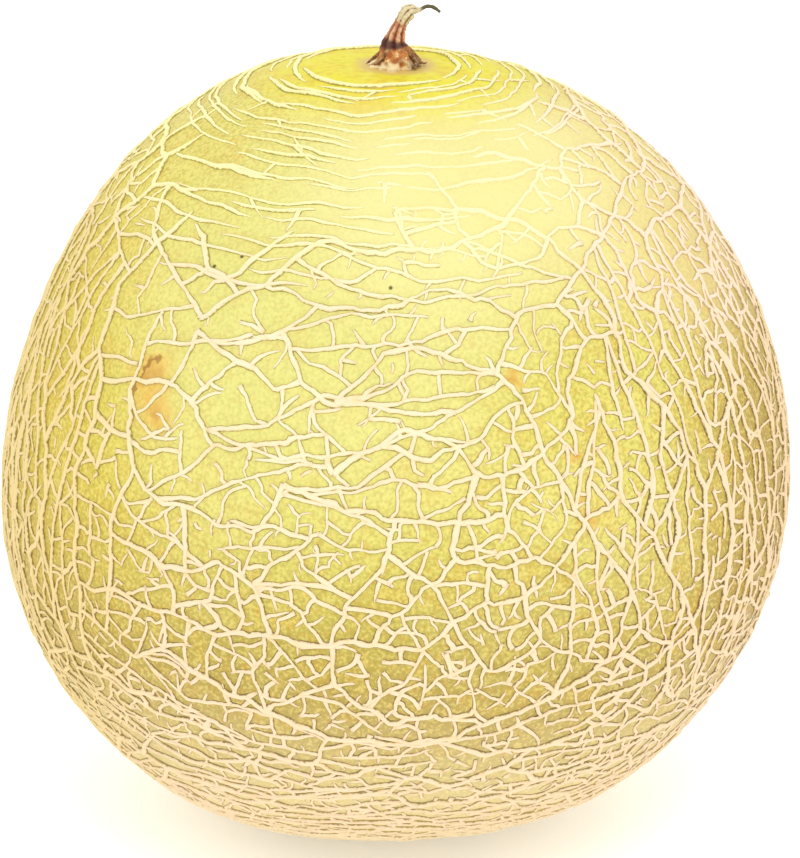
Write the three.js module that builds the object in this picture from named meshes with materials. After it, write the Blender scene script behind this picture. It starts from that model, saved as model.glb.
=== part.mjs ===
// Netted muskmelon, whole, with its dried stem.
// Millimetres, +Z up. The origin is on the flat spot that the melon rests on, under the middle of its width.
// The front of the melon faces -Y, and +X is to the right as seen from the front.

import * as THREE from 'three';
import { ConvexHull } from 'three/addons/math/ConvexHull.js';

// Body of the fruit
const WIDEST_RADIUS = 81.9;
const CROWN_RISE = 95.8;
const BASE_DEPTH = 69.3;
const BASE_FULLNESS = 2.136;
const CROWN_DIP = 2.0;
const CROWN_DIP_WIDTH = 15;
const BASE_LEAN = -3.6;
const REST_SPOT_RADIUS = 16;
// Gentle flats and swells seen from the front: waves round the outline, cosine share, sine share
const SWELLS = [
  [3, 0.0005, 0.0062],
  [4, -0.0035, 0.0038],
  [5, -0.0036, 0.0037],
  [6, 0.0053, 0.0016],
];

// Raised net
const CORD_HEIGHT = 1.3;
const CORD_HALF_WIDTH = 1.75;
const MESH_COUNT = 1200;
const OPENED_MESHES = 170;
const LARGEST_GROUP = 2;
const SHORTEST_CORD = 3.0;
const SEED_SPACING = 6.9;
const CHAIN_STEP = 10.5;
const CHAIN_SIDE_STEP = 4.9;
const WIDE_MESH_AREA = 110;
const SEED_JITTER = 2.6;
const RANDOM_START = 20117;

// Strength of a cord, from 0 to 1: common cords vary by chance and by how well they lie with the grain
const COMMON_STRENGTH = 0.3;
const STRENGTH_SPREAD = 0.4;
const GRAIN_GAIN = 0.7;
const RING_STRENGTH = 0.75;
const MAIN_STRENGTH = 0.85;

// Places in degrees with their spread, and how much more net they hold. The net is crowded on the upper
// shoulder and low down, and on the right, left and back flanks
const POLAR_CROWDING = [[33, 12, 0.3], [128, 26, 0.45]];
const AZIMUTH_CROWDING = [[52, 22, 0.55], [-70, 16, 0.45], [150, 24, 0.3]];
// Grain: cords run from crown to base on these flanks at the waist, and across the fruit in these bands
const UPRIGHT_FLANKS = [[52, 26], [-68, 20], [150, 30], [-130, 20]];
const WAIST = [78, 34];
const ACROSS_BANDS = [[30, 15], [132, 24]];
const SLANT_WITHOUT_GRAIN = 0.6;

// Plain discs at both ends, as angles from the axis
const CROWN_DISC = 10.5;
const CROWN_DISC_CORNERS = 12;
const CROWN_DISC_TILT = 2.5;
const CROWN_RINGS = [0.74, 1.26, 1.95];
const BASE_RINGS = [0.76, 1.24];
const BASE_DISC = 17;
const BASE_DISC_CORNERS = 16;

// Dried stem
const STEM_SEAT_RADIUS = 6.4;
const STEM_SIDES = 18;
const STEM_GAP = 0.3;

// Main cords of the front, drawn by hand: azimuth from the front (right is positive) and angle from the crown
const MAIN_CORDS = [
  [[-80, 18], [-56, 21], [-51, 24], [-55, 27], [-53, 31], [-50, 36]],
  [[-55, 27], [-66, 32], [-69, 36], [-60, 37], [-54, 44], [-53, 50], [-55, 58], [-51, 64]],
  [[-35, 32], [-37, 38], [-36, 42], [-29, 46], [-22, 45]],
  [[-36, 42], [-36, 51]],
  [[-35, 32], [-18, 31], [0, 34]],
  [[-34, 36], [-16, 35], [-11, 39], [-5, 42], [-8, 47]],
  [[-9, 44], [-5, 50], [-7, 56], [-9, 61], [-8, 68], [-11, 76]],
  [[-7, 56], [-4, 60], [-3, 67], [1, 66], [8, 66], [15, 68]],
  [[-42, 62], [-42, 71], [-38, 76]],
  [[-35, 68], [-30, 75], [-15, 73]],
  [[-41, 82], [-30, 82], [-21, 76], [-23, 83], [-35, 87], [-38, 94], [-34, 98], [-27, 100]],
  [[29, 36], [37, 43], [41, 50], [40, 60], [45, 66]],
  [[57, 34], [50, 39], [42, 45]],
  [[33, 38], [24, 44], [16, 45]],
  [[23, 57], [31, 58], [37, 62], [40, 71], [44, 79]],
  [[30, 60], [34, 70], [37, 77], [42, 88]],
  [[46, 50], [51, 60], [53, 70], [56, 80], [55, 92]],
  [[18, 47], [20, 51], [14, 56], [9, 61], [8, 69], [8, 77]],
  [[40, 84], [43, 94], [44, 106]],
  [[33, 86], [36, 92], [34, 98], [24, 102], [12, 104]],
  [[18, 79], [25, 83], [31, 91]],
  [[-20, 94], [-9, 92], [-7, 98], [0, 102]],
  [[-50, 102], [-40, 107], [-32, 104], [-13, 105]],
];
// Long upright cords round the sides and back, worked out by a rule, in degrees
const BACK_CORDS = 13;
const BACK_CORD_FIRST = 74;
const BACK_CORD_SPAN = 212;
const BACK_CORD_SWAY = 7;
const BACK_CORD_KNOTS = 5;
const BACK_CORD_TOP = [24, 64];
const BACK_CORD_LENGTH = [30, 70];

const DEG = Math.PI / 180;
const FRUIT_CENTRE_HEIGHT = restSpotDepth();
const REST_SPOT_OFFSET = BASE_LEAN * (FRUIT_CENTRE_HEIGHT / BASE_DEPTH) ** 2;

// Small seeded random numbers, so that the net is the same every time
function randomSource(start) {
  let state = start >>> 0;
  return () => {
    state = (state + 0x6d2b79f5) >>> 0;
    let mixed = state;
    mixed = Math.imul(mixed ^ (mixed >>> 15), mixed | 1);
    mixed ^= mixed + Math.imul(mixed ^ (mixed >>> 7), mixed | 61);
    return ((mixed ^ (mixed >>> 14)) >>> 0) / 4294967296;
  };
}

// Depth of the flat spot below the widest level: the lower half cut off where it is as wide as the spot
function restSpotDepth() {
  const share = Math.pow(REST_SPOT_RADIUS / WIDEST_RADIUS, BASE_FULLNESS);
  return BASE_DEPTH * Math.pow(1 - share, 1 / BASE_FULLNESS);
}

// Point of the bare rind along a unit direction from the middle of the widest level
function rindPoint(direction) {
  const rise = direction.z;
  const reach = Math.hypot(direction.x, direction.y);
  const upper = rise >= 0;
  const power = upper ? 2 : BASE_FULLNESS;
  const extent = upper ? CROWN_RISE : BASE_DEPTH;
  const wide = Math.pow(reach / WIDEST_RADIUS, power);
  const tall = Math.pow(Math.abs(rise) / extent, power);
  let radius = Math.pow(wide + tall, -1 / power);
  const edge = Math.hypot(direction.x, rise);
  const turn = Math.atan2(rise, direction.x);
  let swell = 0;
  for (const [waves, cosShare, sinShare] of SWELLS) {
    swell += cosShare * Math.cos(waves * turn) + sinShare * Math.sin(waves * turn);
  }
  radius *= 1 + edge * edge * swell;
  const point = direction.clone().multiplyScalar(radius);
  if (upper) {
    const across = Math.hypot(point.x, point.y) / CROWN_DIP_WIDTH;
    point.z -= CROWN_DIP * Math.exp(-across * across);
  } else {
    const depth = point.z / BASE_DEPTH;
    point.x += BASE_LEAN * depth * depth;
  }
  point.z += FRUIT_CENTRE_HEIGHT;
  return point;
}

// Unit direction of an azimuth from the front and an angle from the crown, both in degrees
function directionAt(azimuth, fromCrown) {
  const side = Math.sin(fromCrown * DEG);
  return new THREE.Vector3(
    side * Math.sin(azimuth * DEG),
    -side * Math.cos(azimuth * DEG),
    Math.cos(fromCrown * DEG),
  );
}

// A smooth bump of height 1 that fades over its width on both sides of its middle
function hump(value, middle, width) {
  return Math.exp(-(((value - middle) / width) ** 2));
}

// Turns an angle between its real place and an even one, where crowded stretches hold more net
class Crowding {
  constructor(from, to, humps) {
    this.from = from;
    this.step = 0.25;
    this.even = [from];
    for (let angle = from; angle < to; angle += this.step) {
      let crowd = 1;
      for (const [middle, width, gain] of humps) {
        crowd += gain * hump(angle, middle, width);
      }
      this.even.push(this.even.at(-1) + crowd);
    }
    const scale = (to - from) / (this.even.at(-1) - from);
    this.even = this.even.map((value) => from + (value - from) * scale);
  }

  toEven(angle) {
    const place = Math.min((angle - this.from) / this.step, this.even.length - 1.001);
    const slot = Math.floor(place);
    return THREE.MathUtils.lerp(this.even[slot], this.even[slot + 1], place - slot);
  }

  toReal(value) {
    let low = 0;
    let high = this.even.length - 1;
    while (high - low > 1) {
      const middle = (low + high) >> 1;
      if (this.even[middle] <= value) low = middle;
      else high = middle;
    }
    const share = (value - this.even[low]) / (this.even[high] - this.even[low]);
    return this.from + (low + share) * this.step;
  }
}

const polarCrowding = new Crowding(0, 180, POLAR_CROWDING);
const azimuthCrowding = new Crowding(-180, 180, AZIMUTH_CROWDING);

function anglesOf(direction) {
  const fromCrown = Math.acos(THREE.MathUtils.clamp(direction.z, -1, 1)) / DEG;
  const azimuth = Math.atan2(direction.x, -direction.y) / DEG;
  return [azimuth, fromCrown];
}

function evenDirection(azimuth, fromCrown) {
  return directionAt(azimuthCrowding.toEven(azimuth), polarCrowding.toEven(fromCrown));
}

function realDirection(even) {
  const [azimuth, fromCrown] = anglesOf(even);
  return directionAt(azimuthCrowding.toReal(azimuth), polarCrowding.toReal(fromCrown));
}

// Each seed is the middle of one mesh of the net
function makeSeeds(random) {
  const seeds = [];
  const sphere = WIDEST_RADIUS;

  const crownAxis = directionAt(0, CROWN_DISC_TILT);
  const baseAxis = new THREE.Vector3(0, 0, -1);
  const crownDisc = polarCrowding.toEven(CROWN_DISC);
  const baseDisc = 180 - polarCrowding.toEven(180 - BASE_DISC);

  function addSeed(direction, family, side, spacing) {
    const inCrown = direction.angleTo(crownAxis) / DEG < crownDisc * CROWN_RINGS.at(-1) + 1;
    const inBase = direction.angleTo(baseAxis) / DEG < baseDisc * BASE_RINGS.at(-1) + 1;
    const near = seeds.some((seed) => seed.direction.distanceTo(direction) * sphere < spacing);
    if (!inCrown && !inBase && !near) seeds.push({ direction, family, side });
  }

  // A disc at an end of the fruit and the rings round it: side counts outwards from the middle seed
  function addDisc(axis, disc, rings, corners, family) {
    const tilt = new THREE.Quaternion().setFromUnitVectors(new THREE.Vector3(0, 0, 1), axis);
    seeds.push({ direction: axis.clone(), family, side: 0 });
    rings.forEach((share, side) => {
      for (let corner = 0; corner < corners; corner++) {
        const azimuth = ((corner + side / 2) / corners) * 360;
        seeds.push({ direction: directionAt(azimuth, disc * share).applyQuaternion(tilt), family, side });
      }
    });
  }

  function addCord(route, cord) {
    const points = route.map(([azimuth, fromCrown]) => evenDirection(azimuth, fromCrown));
    const curve = new THREE.CatmullRomCurve3(points);
    const steps = Math.max(2, Math.round((curve.getLength() * sphere) / CHAIN_STEP));
    for (let step = 0; step <= steps; step++) {
      const middle = curve.getPointAt(step / steps).normalize();
      const along = curve.getTangentAt(step / steps);
      const across = new THREE.Vector3().crossVectors(middle, along).normalize();
      for (const side of [-1, 1]) {
        const offset = across.clone().multiplyScalar((side * CHAIN_SIDE_STEP) / sphere);
        addSeed(middle.clone().add(offset).normalize(), `cord ${cord}`, side, SHORTEST_CORD * 2);
      }
    }
  }

  addDisc(crownAxis, crownDisc, CROWN_RINGS, CROWN_DISC_CORNERS, 'crown');
  addDisc(baseAxis, baseDisc, BASE_RINGS, BASE_DISC_CORNERS, 'base');

  MAIN_CORDS.forEach((route, cord) => addCord(route, cord));
  for (let cord = 0; cord < BACK_CORDS; cord++) {
    const azimuth = BACK_CORD_FIRST + (cord * BACK_CORD_SPAN) / (BACK_CORDS - 1);
    const wrapped = azimuth > 180 ? azimuth - 360 : azimuth;
    const top = THREE.MathUtils.lerp(...BACK_CORD_TOP, random());
    const length = THREE.MathUtils.lerp(...BACK_CORD_LENGTH, random());
    const route = [];
    for (let knot = 0; knot < BACK_CORD_KNOTS; knot++) {
      const sway = THREE.MathUtils.lerp(-BACK_CORD_SWAY, BACK_CORD_SWAY, random());
      const fromCrown = top + (length * knot) / (BACK_CORD_KNOTS - 1);
      route.push([THREE.MathUtils.clamp(wrapped + sway, -179, 179), fromCrown]);
    }
    addCord(route, MAIN_CORDS.length + cord);
  }

  // The rest is spread evenly by the golden angle and jittered
  for (let index = 0; index < MESH_COUNT; index++) {
    const height = 1 - (2 * (index + 0.5)) / MESH_COUNT;
    const turn = index * Math.PI * (3 - Math.sqrt(5));
    const reach = Math.sqrt(1 - height * height);
    const direction = new THREE.Vector3(reach * Math.cos(turn), reach * Math.sin(turn), height);
    const shake = () => ((random() - 0.5) * 2 * SEED_JITTER) / sphere;
    direction.add(new THREE.Vector3(shake(), shake(), shake())).normalize();
    addSeed(direction, 'fill', 0, SEED_SPACING);
  }
  return seeds;
}

// Corners of the net lie where three seeds are equally near, and cords run between corners
function makeNet(random) {
  const seeds = makeSeeds(random);
  const index = new Map(seeds.map((seed, place) => [seed.direction, place]));
  const hull = new ConvexHull().setFromPoints(seeds.map((seed) => seed.direction));
  const corners = [];
  const around = seeds.map(() => []);
  for (const face of hull.faces) {
    const corner = corners.length;
    corners.push(face.normal.clone().normalize());
    for (let side = 0; side < 3; side++) {
      around[index.get(face.getEdge(side).head().point)].push(corner);
    }
  }

  // The corners of each mesh, anticlockwise as seen from outside
  const loops = around.map((ring, place) => {
    const middle = seeds[place].direction;
    const right = new THREE.Vector3(0.3, 0.5, 0.81).cross(middle).normalize();
    const up = new THREE.Vector3().crossVectors(middle, right);
    const turn = (corner) => Math.atan2(corners[corner].dot(up), corners[corner].dot(right));
    return ring.slice().sort((a, b) => turn(a) - turn(b));
  });
  const places = corners.map(realDirection);
  mergeCloseCorners(loops, places);
  const cords = collectCords(loops, seeds, places, random);
  const open = openMeshes(cords, loops, seeds);
  tightenCords(cords, places, open.fixed);
  return { cords, places, loops: open.loops };
}

// Two corners nearer than the shortest cord become one, once for each corner
function mergeCloseCorners(loops, places) {
  const mergedInto = new Map();
  for (const loop of loops) {
    for (let side = 0; side < loop.length; side++) {
      const first = loop[side];
      const second = loop[(side + 1) % loop.length];
      const gap = places[first].distanceTo(places[second]) * WIDEST_RADIUS;
      const free = !mergedInto.has(first) && !mergedInto.has(second);
      if (gap > SHORTEST_CORD || !free) continue;
      places[first].add(places[second]).normalize();
      mergedInto.set(second, first);
      mergedInto.set(first, first);
    }
  }
  loops.forEach((loop, place) => {
    const renamed = loop.map((corner) => mergedInto.get(corner) ?? corner);
    loops[place] = renamed.filter((corner, side) => corner !== renamed[(side + 1) % renamed.length]);
  });
}

// How much a cord of this direction belongs at this place: long cords lie across the fruit on the upper
// shoulder and low down, and run from crown to base on the flanks
function grainShare(first, second) {
  const middle = first.clone().add(second).normalize();
  const [azimuth, fromCrown] = anglesOf(middle);
  const along = second.clone().sub(first).normalize();
  const southward = new THREE.Vector3(0, 0, -1).addScaledVector(middle, middle.z).normalize();
  const upright = Math.abs(along.dot(southward)) - SLANT_WITHOUT_GRAIN;
  const waist = hump(fromCrown, ...WAIST);
  let grain = 0;
  for (const flank of UPRIGHT_FLANKS) grain += waist * hump(azimuth, ...flank);
  for (const band of ACROSS_BANDS) grain -= hump(fromCrown, ...band);
  return upright * grain;
}

// Every cord once, with its two ends, the meshes on its sides and its strength from 0 to 1
function collectCords(loops, seeds, places, random) {
  const cords = new Map();
  loops.forEach((loop, mesh) => {
    loop.forEach((corner, side) => {
      const next = loop[(side + 1) % loop.length];
      const key = corner < next ? `${corner} ${next}` : `${next} ${corner}`;
      const known = cords.get(key);
      if (known) known.meshes.push(mesh);
      else cords.set(key, { ends: [corner, next], meshes: [mesh], kind: 'common', strength: 0 });
    });
  });
  for (const cord of cords.values()) {
    const [one, other] = cord.meshes.map((mesh) => seeds[mesh]);
    const [first, second] = cord.ends.map((corner) => places[corner]);
    if (one.family === other.family && one.family !== 'fill') {
      const end = one.family === 'crown' || one.family === 'base';
      if (end && one.side + other.side === 0) cord.kind = 'disc';
      else if (one.side !== other.side) cord.kind = end ? 'ring' : 'main';
    }
    const chance = random();
    const common = COMMON_STRENGTH + STRENGTH_SPREAD * chance + GRAIN_GAIN * grainShare(first, second);
    cord.strength = THREE.MathUtils.clamp(common, 0.05, 1);
    if (cord.kind === 'ring') cord.strength = RING_STRENGTH;
    if (cord.kind === 'main') cord.strength = THREE.MathUtils.lerp(MAIN_STRENGTH, 1, chance);
  }
  return cords;
}

// Takes out the weakest cords, so that meshes open into each other and long cords are left
function openMeshes(cords, loops, seeds) {
  const next = new Map();
  const previous = new Map();
  for (const loop of loops) {
    loop.forEach((corner, side) => {
      const second = loop[(side + 1) % loop.length];
      const third = loop[(side + 2) % loop.length];
      next.set(`${corner} ${second}`, `${second} ${third}`);
      previous.set(`${second} ${third}`, `${corner} ${second}`);
    });
  }
  const group = seeds.map((seed, place) => place);
  const size = seeds.map(() => 1);
  const find = (mesh) => {
    while (group[mesh] !== mesh) mesh = group[mesh];
    return mesh;
  };
  const branches = new Map();
  const fixed = new Set();
  for (const cord of cords.values()) {
    for (const corner of cord.ends) {
      branches.set(corner, (branches.get(corner) ?? 0) + 1);
      if (cord.kind === 'ring') fixed.add(corner);
    }
  }

  function takeOut(key, cord) {
    const [first, second] = cord.ends;
    const forward = `${first} ${second}`;
    const backward = `${second} ${first}`;
    const links = [
      [previous.get(forward), next.get(backward)],
      [previous.get(backward), next.get(forward)],
    ];
    for (const [before, after] of links) {
      next.set(before, after);
      previous.set(after, before);
    }
    for (const half of [forward, backward]) {
      next.delete(half);
      previous.delete(half);
    }
    for (const corner of cord.ends) branches.set(corner, branches.get(corner) - 1);
    const [one, other] = cord.meshes.map(find);
    if (one !== other) {
      group[one] = other;
      size[other] += size[one];
    }
    cords.delete(key);
  }

  const sorted = [...cords].sort((a, b) => a[1].strength - b[1].strength);
  for (const [key, cord] of sorted) {
    if (cord.kind === 'disc') takeOut(key, cord);
  }
  let left = OPENED_MESHES;
  for (const [key, cord] of sorted) {
    if (left === 0) break;
    if (cord.kind !== 'common' || !cords.has(key)) continue;
    const [one, other] = cord.meshes.map(find);
    const thin = cord.ends.some((corner) => branches.get(corner) < 3);
    if (one === other || thin || size[one] + size[other] > LARGEST_GROUP) continue;
    takeOut(key, cord);
    left -= 1;
  }

  // What is left of the half cords closes into the new, larger meshes
  const done = new Set();
  const open = [];
  for (const start of next.keys()) {
    if (done.has(start)) continue;
    const loop = [];
    let half = start;
    while (!done.has(half)) {
      done.add(half);
      loop.push(Number(half.split(' ')[0]));
      half = next.get(half);
    }
    open.push(loop);
  }
  return { loops: open, fixed };
}

// Each corner moves towards its neighbours, most towards those on strong cords, so that strong cords run
// straight and weak ones meet them from the side
function tightenCords(cords, places, fixed) {
  for (let round = 0; round < 4; round++) {
    const pull = new Map();
    for (const cord of cords.values()) {
      const weight = 0.08 + cord.strength ** 3;
      const [first, second] = cord.ends;
      for (const [corner, towards] of [[first, second], [second, first]]) {
        if (!pull.has(corner)) pull.set(corner, { sum: new THREE.Vector3(), weight: 0 });
        const share = pull.get(corner);
        share.sum.addScaledVector(places[towards], weight);
        share.weight += weight;
      }
    }
    for (const [corner, share] of pull) {
      if (fixed.has(corner)) continue;
      places[corner].lerp(share.sum.divideScalar(share.weight), 0.4).normalize();
    }
  }
}

// A mesh of the net laid flat about its middle, so that widths can be measured in the plane
class FlatMesh {
  constructor(directions) {
    this.middle = new THREE.Vector3();
    for (const direction of directions) this.middle.add(direction);
    this.middle.normalize();
    this.right = new THREE.Vector3(0.31, 0.52, 0.8).cross(this.middle).normalize();
    this.up = new THREE.Vector3().crossVectors(this.middle, this.right);
    this.outline = directions.map((direction) => this.flatten(direction));
  }

  flatten(direction) {
    const scale = WIDEST_RADIUS / direction.dot(this.middle);
    return new THREE.Vector2(direction.dot(this.right) * scale, direction.dot(this.up) * scale);
  }

  lift(point) {
    return this.middle
      .clone()
      .addScaledVector(this.right, point.x / WIDEST_RADIUS)
      .addScaledVector(this.up, point.y / WIDEST_RADIUS)
      .normalize();
  }
}

function area(a, b, c) {
  return ((b.x - a.x) * (c.y - a.y) - (c.x - a.x) * (b.y - a.y)) / 2;
}

// The outline moved inwards by each side's own width, where neighbouring moved sides meet
function insetOutline(outline, widths) {
  const count = outline.length;
  return outline.map((point, side) => {
    const before = outline[(side + count - 1) % count];
    const after = outline[(side + 1) % count];
    const alongIn = point.clone().sub(before).normalize();
    const alongOut = after.clone().sub(point).normalize();
    const normalIn = new THREE.Vector2(-alongIn.y, alongIn.x);
    const normalOut = new THREE.Vector2(-alongOut.y, alongOut.x);
    const widthIn = widths[(side + count - 1) % count];
    const widthOut = widths[side];
    const bend = normalIn.cross(normalOut);
    const move = new THREE.Vector2();
    if (Math.abs(bend) < 0.25) {
      move.copy(normalIn).add(normalOut).normalize().multiplyScalar((widthIn + widthOut) / 2);
    } else {
      move.x = (widthIn * normalOut.y - widthOut * normalIn.y) / bend;
      move.y = (widthOut * normalIn.x - widthIn * normalOut.x) / bend;
    }
    return point.clone().add(move.clampLength(0, 2 * Math.max(widthIn, widthOut)));
  });
}

// Triangles of the sloping band between an outline and its inset, or nothing where the band folds
function bandTriangles(outer, inner) {
  const triangles = [];
  const count = outer.length;
  const least = 0.02;
  for (let side = 0; side < count; side++) {
    const after = (side + 1) % count;
    const [a, b, c, d] = [outer[side], outer[after], inner[after], inner[side]];
    const oneWay = Math.min(area(a, b, c), area(a, c, d));
    const otherWay = Math.min(area(a, b, d), area(b, c, d));
    if (Math.max(oneWay, otherWay) < least) return null;
    if (oneWay > otherWay) {
      triangles.push([side, after, count + after], [side, count + after, count + side]);
    } else {
      triangles.push([side, after, count + side], [after, count + after, count + side]);
    }
  }
  return triangles;
}

// Triangles of the floor of a mesh, or nothing where the inset outline crosses itself
function floorTriangles(inner) {
  const faces = THREE.ShapeUtils.triangulateShape(inner, []);
  if (faces.length !== inner.length - 2) return null;
  let covered = 0;
  for (const face of faces) {
    const [a, b, c] = face.map((corner) => inner[corner]);
    const size = area(a, b, c);
    if (Math.abs(size) < 0.01) return null;
    if (size < 0) face.reverse();
    covered += Math.abs(size);
  }
  const whole = THREE.ShapeUtils.area(inner);
  if (whole <= 0 || Math.abs(covered - whole) > 1e-6 * whole) return null;
  return faces;
}

// The middle of a wide mesh, from which its floor can fan out and follow the bulge of the fruit
function fanMiddle(inner) {
  if (THREE.ShapeUtils.area(inner) < WIDE_MESH_AREA) return null;
  const middle = new THREE.Vector2();
  for (const point of inner) middle.add(point);
  middle.divideScalar(inner.length);
  const open = inner.every((point, side) => area(middle, point, inner[(side + 1) % inner.length]) > 0.5);
  return open ? middle : null;
}

// Collects points and triangles of one closed surface
class Surface {
  constructor() {
    this.points = [];
    this.tints = [];
    this.triangles = [];
  }

  addPoint(point, tint) {
    this.points.push(point.x, point.y, point.z);
    this.tints.push(tint.r, tint.g, tint.b);
    return this.points.length / 3 - 1;
  }

  toGeometry() {
    const geometry = new THREE.BufferGeometry();
    geometry.setAttribute('position', new THREE.Float32BufferAttribute(this.points, 3));
    geometry.setAttribute('color', new THREE.Float32BufferAttribute(this.tints, 3));
    geometry.setIndex(this.triangles.flat());
    geometry.computeVertexNormals();
    return geometry;
  }
}

const CORD_COLOUR = new THREE.Color(0xf6dfc3);
const GROUND_COLOUR = new THREE.Color(0xdcc852);
// Vertex colours multiply the material's cream, so the ground is the cream taken down to its yellow
const CORD_TINT = new THREE.Color(1, 1, 1);
const GROUND_TINT = new THREE.Color(
  GROUND_COLOUR.r / CORD_COLOUR.r,
  GROUND_COLOUR.g / CORD_COLOUR.g,
  GROUND_COLOUR.b / CORD_COLOUR.b,
);

// The whole fruit as one closed surface: cords stand on the corners of the net, and each mesh has a floor
// on the ground with a sloping band up to its cords
function fruitGeometry(net) {
  const surface = new Surface();
  const strengths = new Map();
  for (const cord of net.cords.values()) {
    for (const corner of cord.ends) {
      strengths.set(corner, Math.max(strengths.get(corner) ?? 0, cord.strength));
    }
  }

  // Cords lie low next to the flat spot, as the fruit's weight has pressed them there
  const crests = new Map();
  function crest(corner) {
    if (!crests.has(corner)) {
      const direction = net.places[corner];
      const ground = rindPoint(direction);
      const height = CORD_HEIGHT * (0.6 + 0.55 * strengths.get(corner));
      const lift = direction.z < 0 ? Math.min(height, 0.35 * ground.z) : height;
      crests.set(corner, surface.addPoint(ground.addScaledVector(direction, lift), CORD_TINT));
    }
    return crests.get(corner);
  }

  function addMesh(loop) {
    const directions = loop.map((corner) => net.places[corner]);
    const flat = new FlatMesh(directions);
    const widths = loop.map((corner, side) => {
      const next = loop[(side + 1) % loop.length];
      const key = corner < next ? `${corner} ${next}` : `${next} ${corner}`;
      return CORD_HALF_WIDTH * (0.6 + 0.45 * net.cords.get(key).strength);
    });
    let narrowing = 1;
    let inner;
    let band = null;
    let floor = null;
    while (!(band && floor) && narrowing > 0.02) {
      inner = insetOutline(flat.outline, widths.map((width) => width * narrowing));
      band = bandTriangles(flat.outline, inner);
      floor = floorTriangles(inner);
      narrowing *= 0.85;
    }
    if (!(band && floor)) throw new Error(`A mesh of the net folds over near ${flat.middle.toArray()}`);
    const feet = inner.map((point) => surface.addPoint(rindPoint(flat.lift(point)), GROUND_TINT));
    const names = [...loop.map(crest), ...feet];
    surface.triangles.push(...band.map((face) => face.map((corner) => names[corner])));
    const pole = Math.abs(flat.middle.z) > Math.cos(CROWN_DISC * 0.6 * DEG);
    const middle = fanMiddle(inner);
    if (pole) {
      addPoleDisc(feet, flat.middle.z > 0);
    } else if (middle) {
      const hub = surface.addPoint(rindPoint(flat.lift(middle)), GROUND_TINT);
      feet.forEach((foot, side) => surface.triangles.push([hub, foot, feet[(side + 1) % feet.length]]));
    } else {
      surface.triangles.push(...floor.map((face) => face.map((corner) => feet[corner])));
    }
  }

  // The plain disc at an end of the fruit, down to a level facet: the stem's seat or the flat spot
  function addPoleDisc(feet, top) {
    const radius = top ? STEM_SEAT_RADIUS : REST_SPOT_RADIUS;
    const level = top ? stemSeatHeight() : 0;
    const centre = top ? 0 : REST_SPOT_OFFSET;
    const rim = feet.map((foot) => {
      const [x, y] = surface.points.slice(foot * 3, foot * 3 + 2);
      const turn = Math.atan2(y, x - centre);
      const point = new THREE.Vector3(centre + radius * Math.cos(turn), radius * Math.sin(turn), level);
      return surface.addPoint(point, GROUND_TINT);
    });
    rim.forEach((point, side) => {
      const after = (side + 1) % rim.length;
      surface.triangles.push([feet[side], feet[after], rim[after]], [feet[side], rim[after], point]);
      if (side > 0 && side < rim.length - 1) surface.triangles.push([rim[0], point, rim[after]]);
    });
  }

  net.loops.forEach(addMesh);
  return surface.toGeometry();
}

// The level facet under the stem, as high as the crown is at the seat's edge
function stemSeatHeight() {
  const reach = STEM_SEAT_RADIUS / CROWN_RISE;
  return rindPoint(new THREE.Vector3(0, -reach, 1).normalize()).z;
}

// Dried stem: a ridged foot that flares onto the crown, a leaning ridged neck, a withered knob and a thin
// curled tail. Across, along and up from the middle of the seat, with the radius there
const STEM_ROUTE = [
  [0.0, 0.0, 0.0, 5.6],
  [0.0, 0.0, 0.6, 5.6],
  [-0.1, 0.0, 1.7, 4.8],
  [-0.3, 0.0, 2.9, 3.8],
  [-0.4, 0.0, 4.2, 2.75],
  [-0.1, 0.0, 5.6, 2.0],
  [0.35, -0.1, 7.0, 1.6],
  [0.95, -0.1, 8.4, 1.4],
  [1.6, -0.1, 9.6, 1.5],
  [2.4, 0.0, 10.6, 1.65],
  [3.3, 0.0, 11.3, 1.3],
  [4.2, 0.1, 11.3, 0.75],
  [5.0, 0.2, 11.3, 0.45],
  [5.9, 0.3, 11.8, 0.4],
  [6.8, 0.4, 11.9, 0.4],
  [7.9, 0.4, 11.5, 0.4],
  [8.9, 0.5, 10.7, 0.36],
];
const STEM_RIDGES = 6;
const STEM_RIDGE_SHARE = 0.16;
const STEM_TWIST = 6.6;
const STEM_RINGS = 34;

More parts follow.
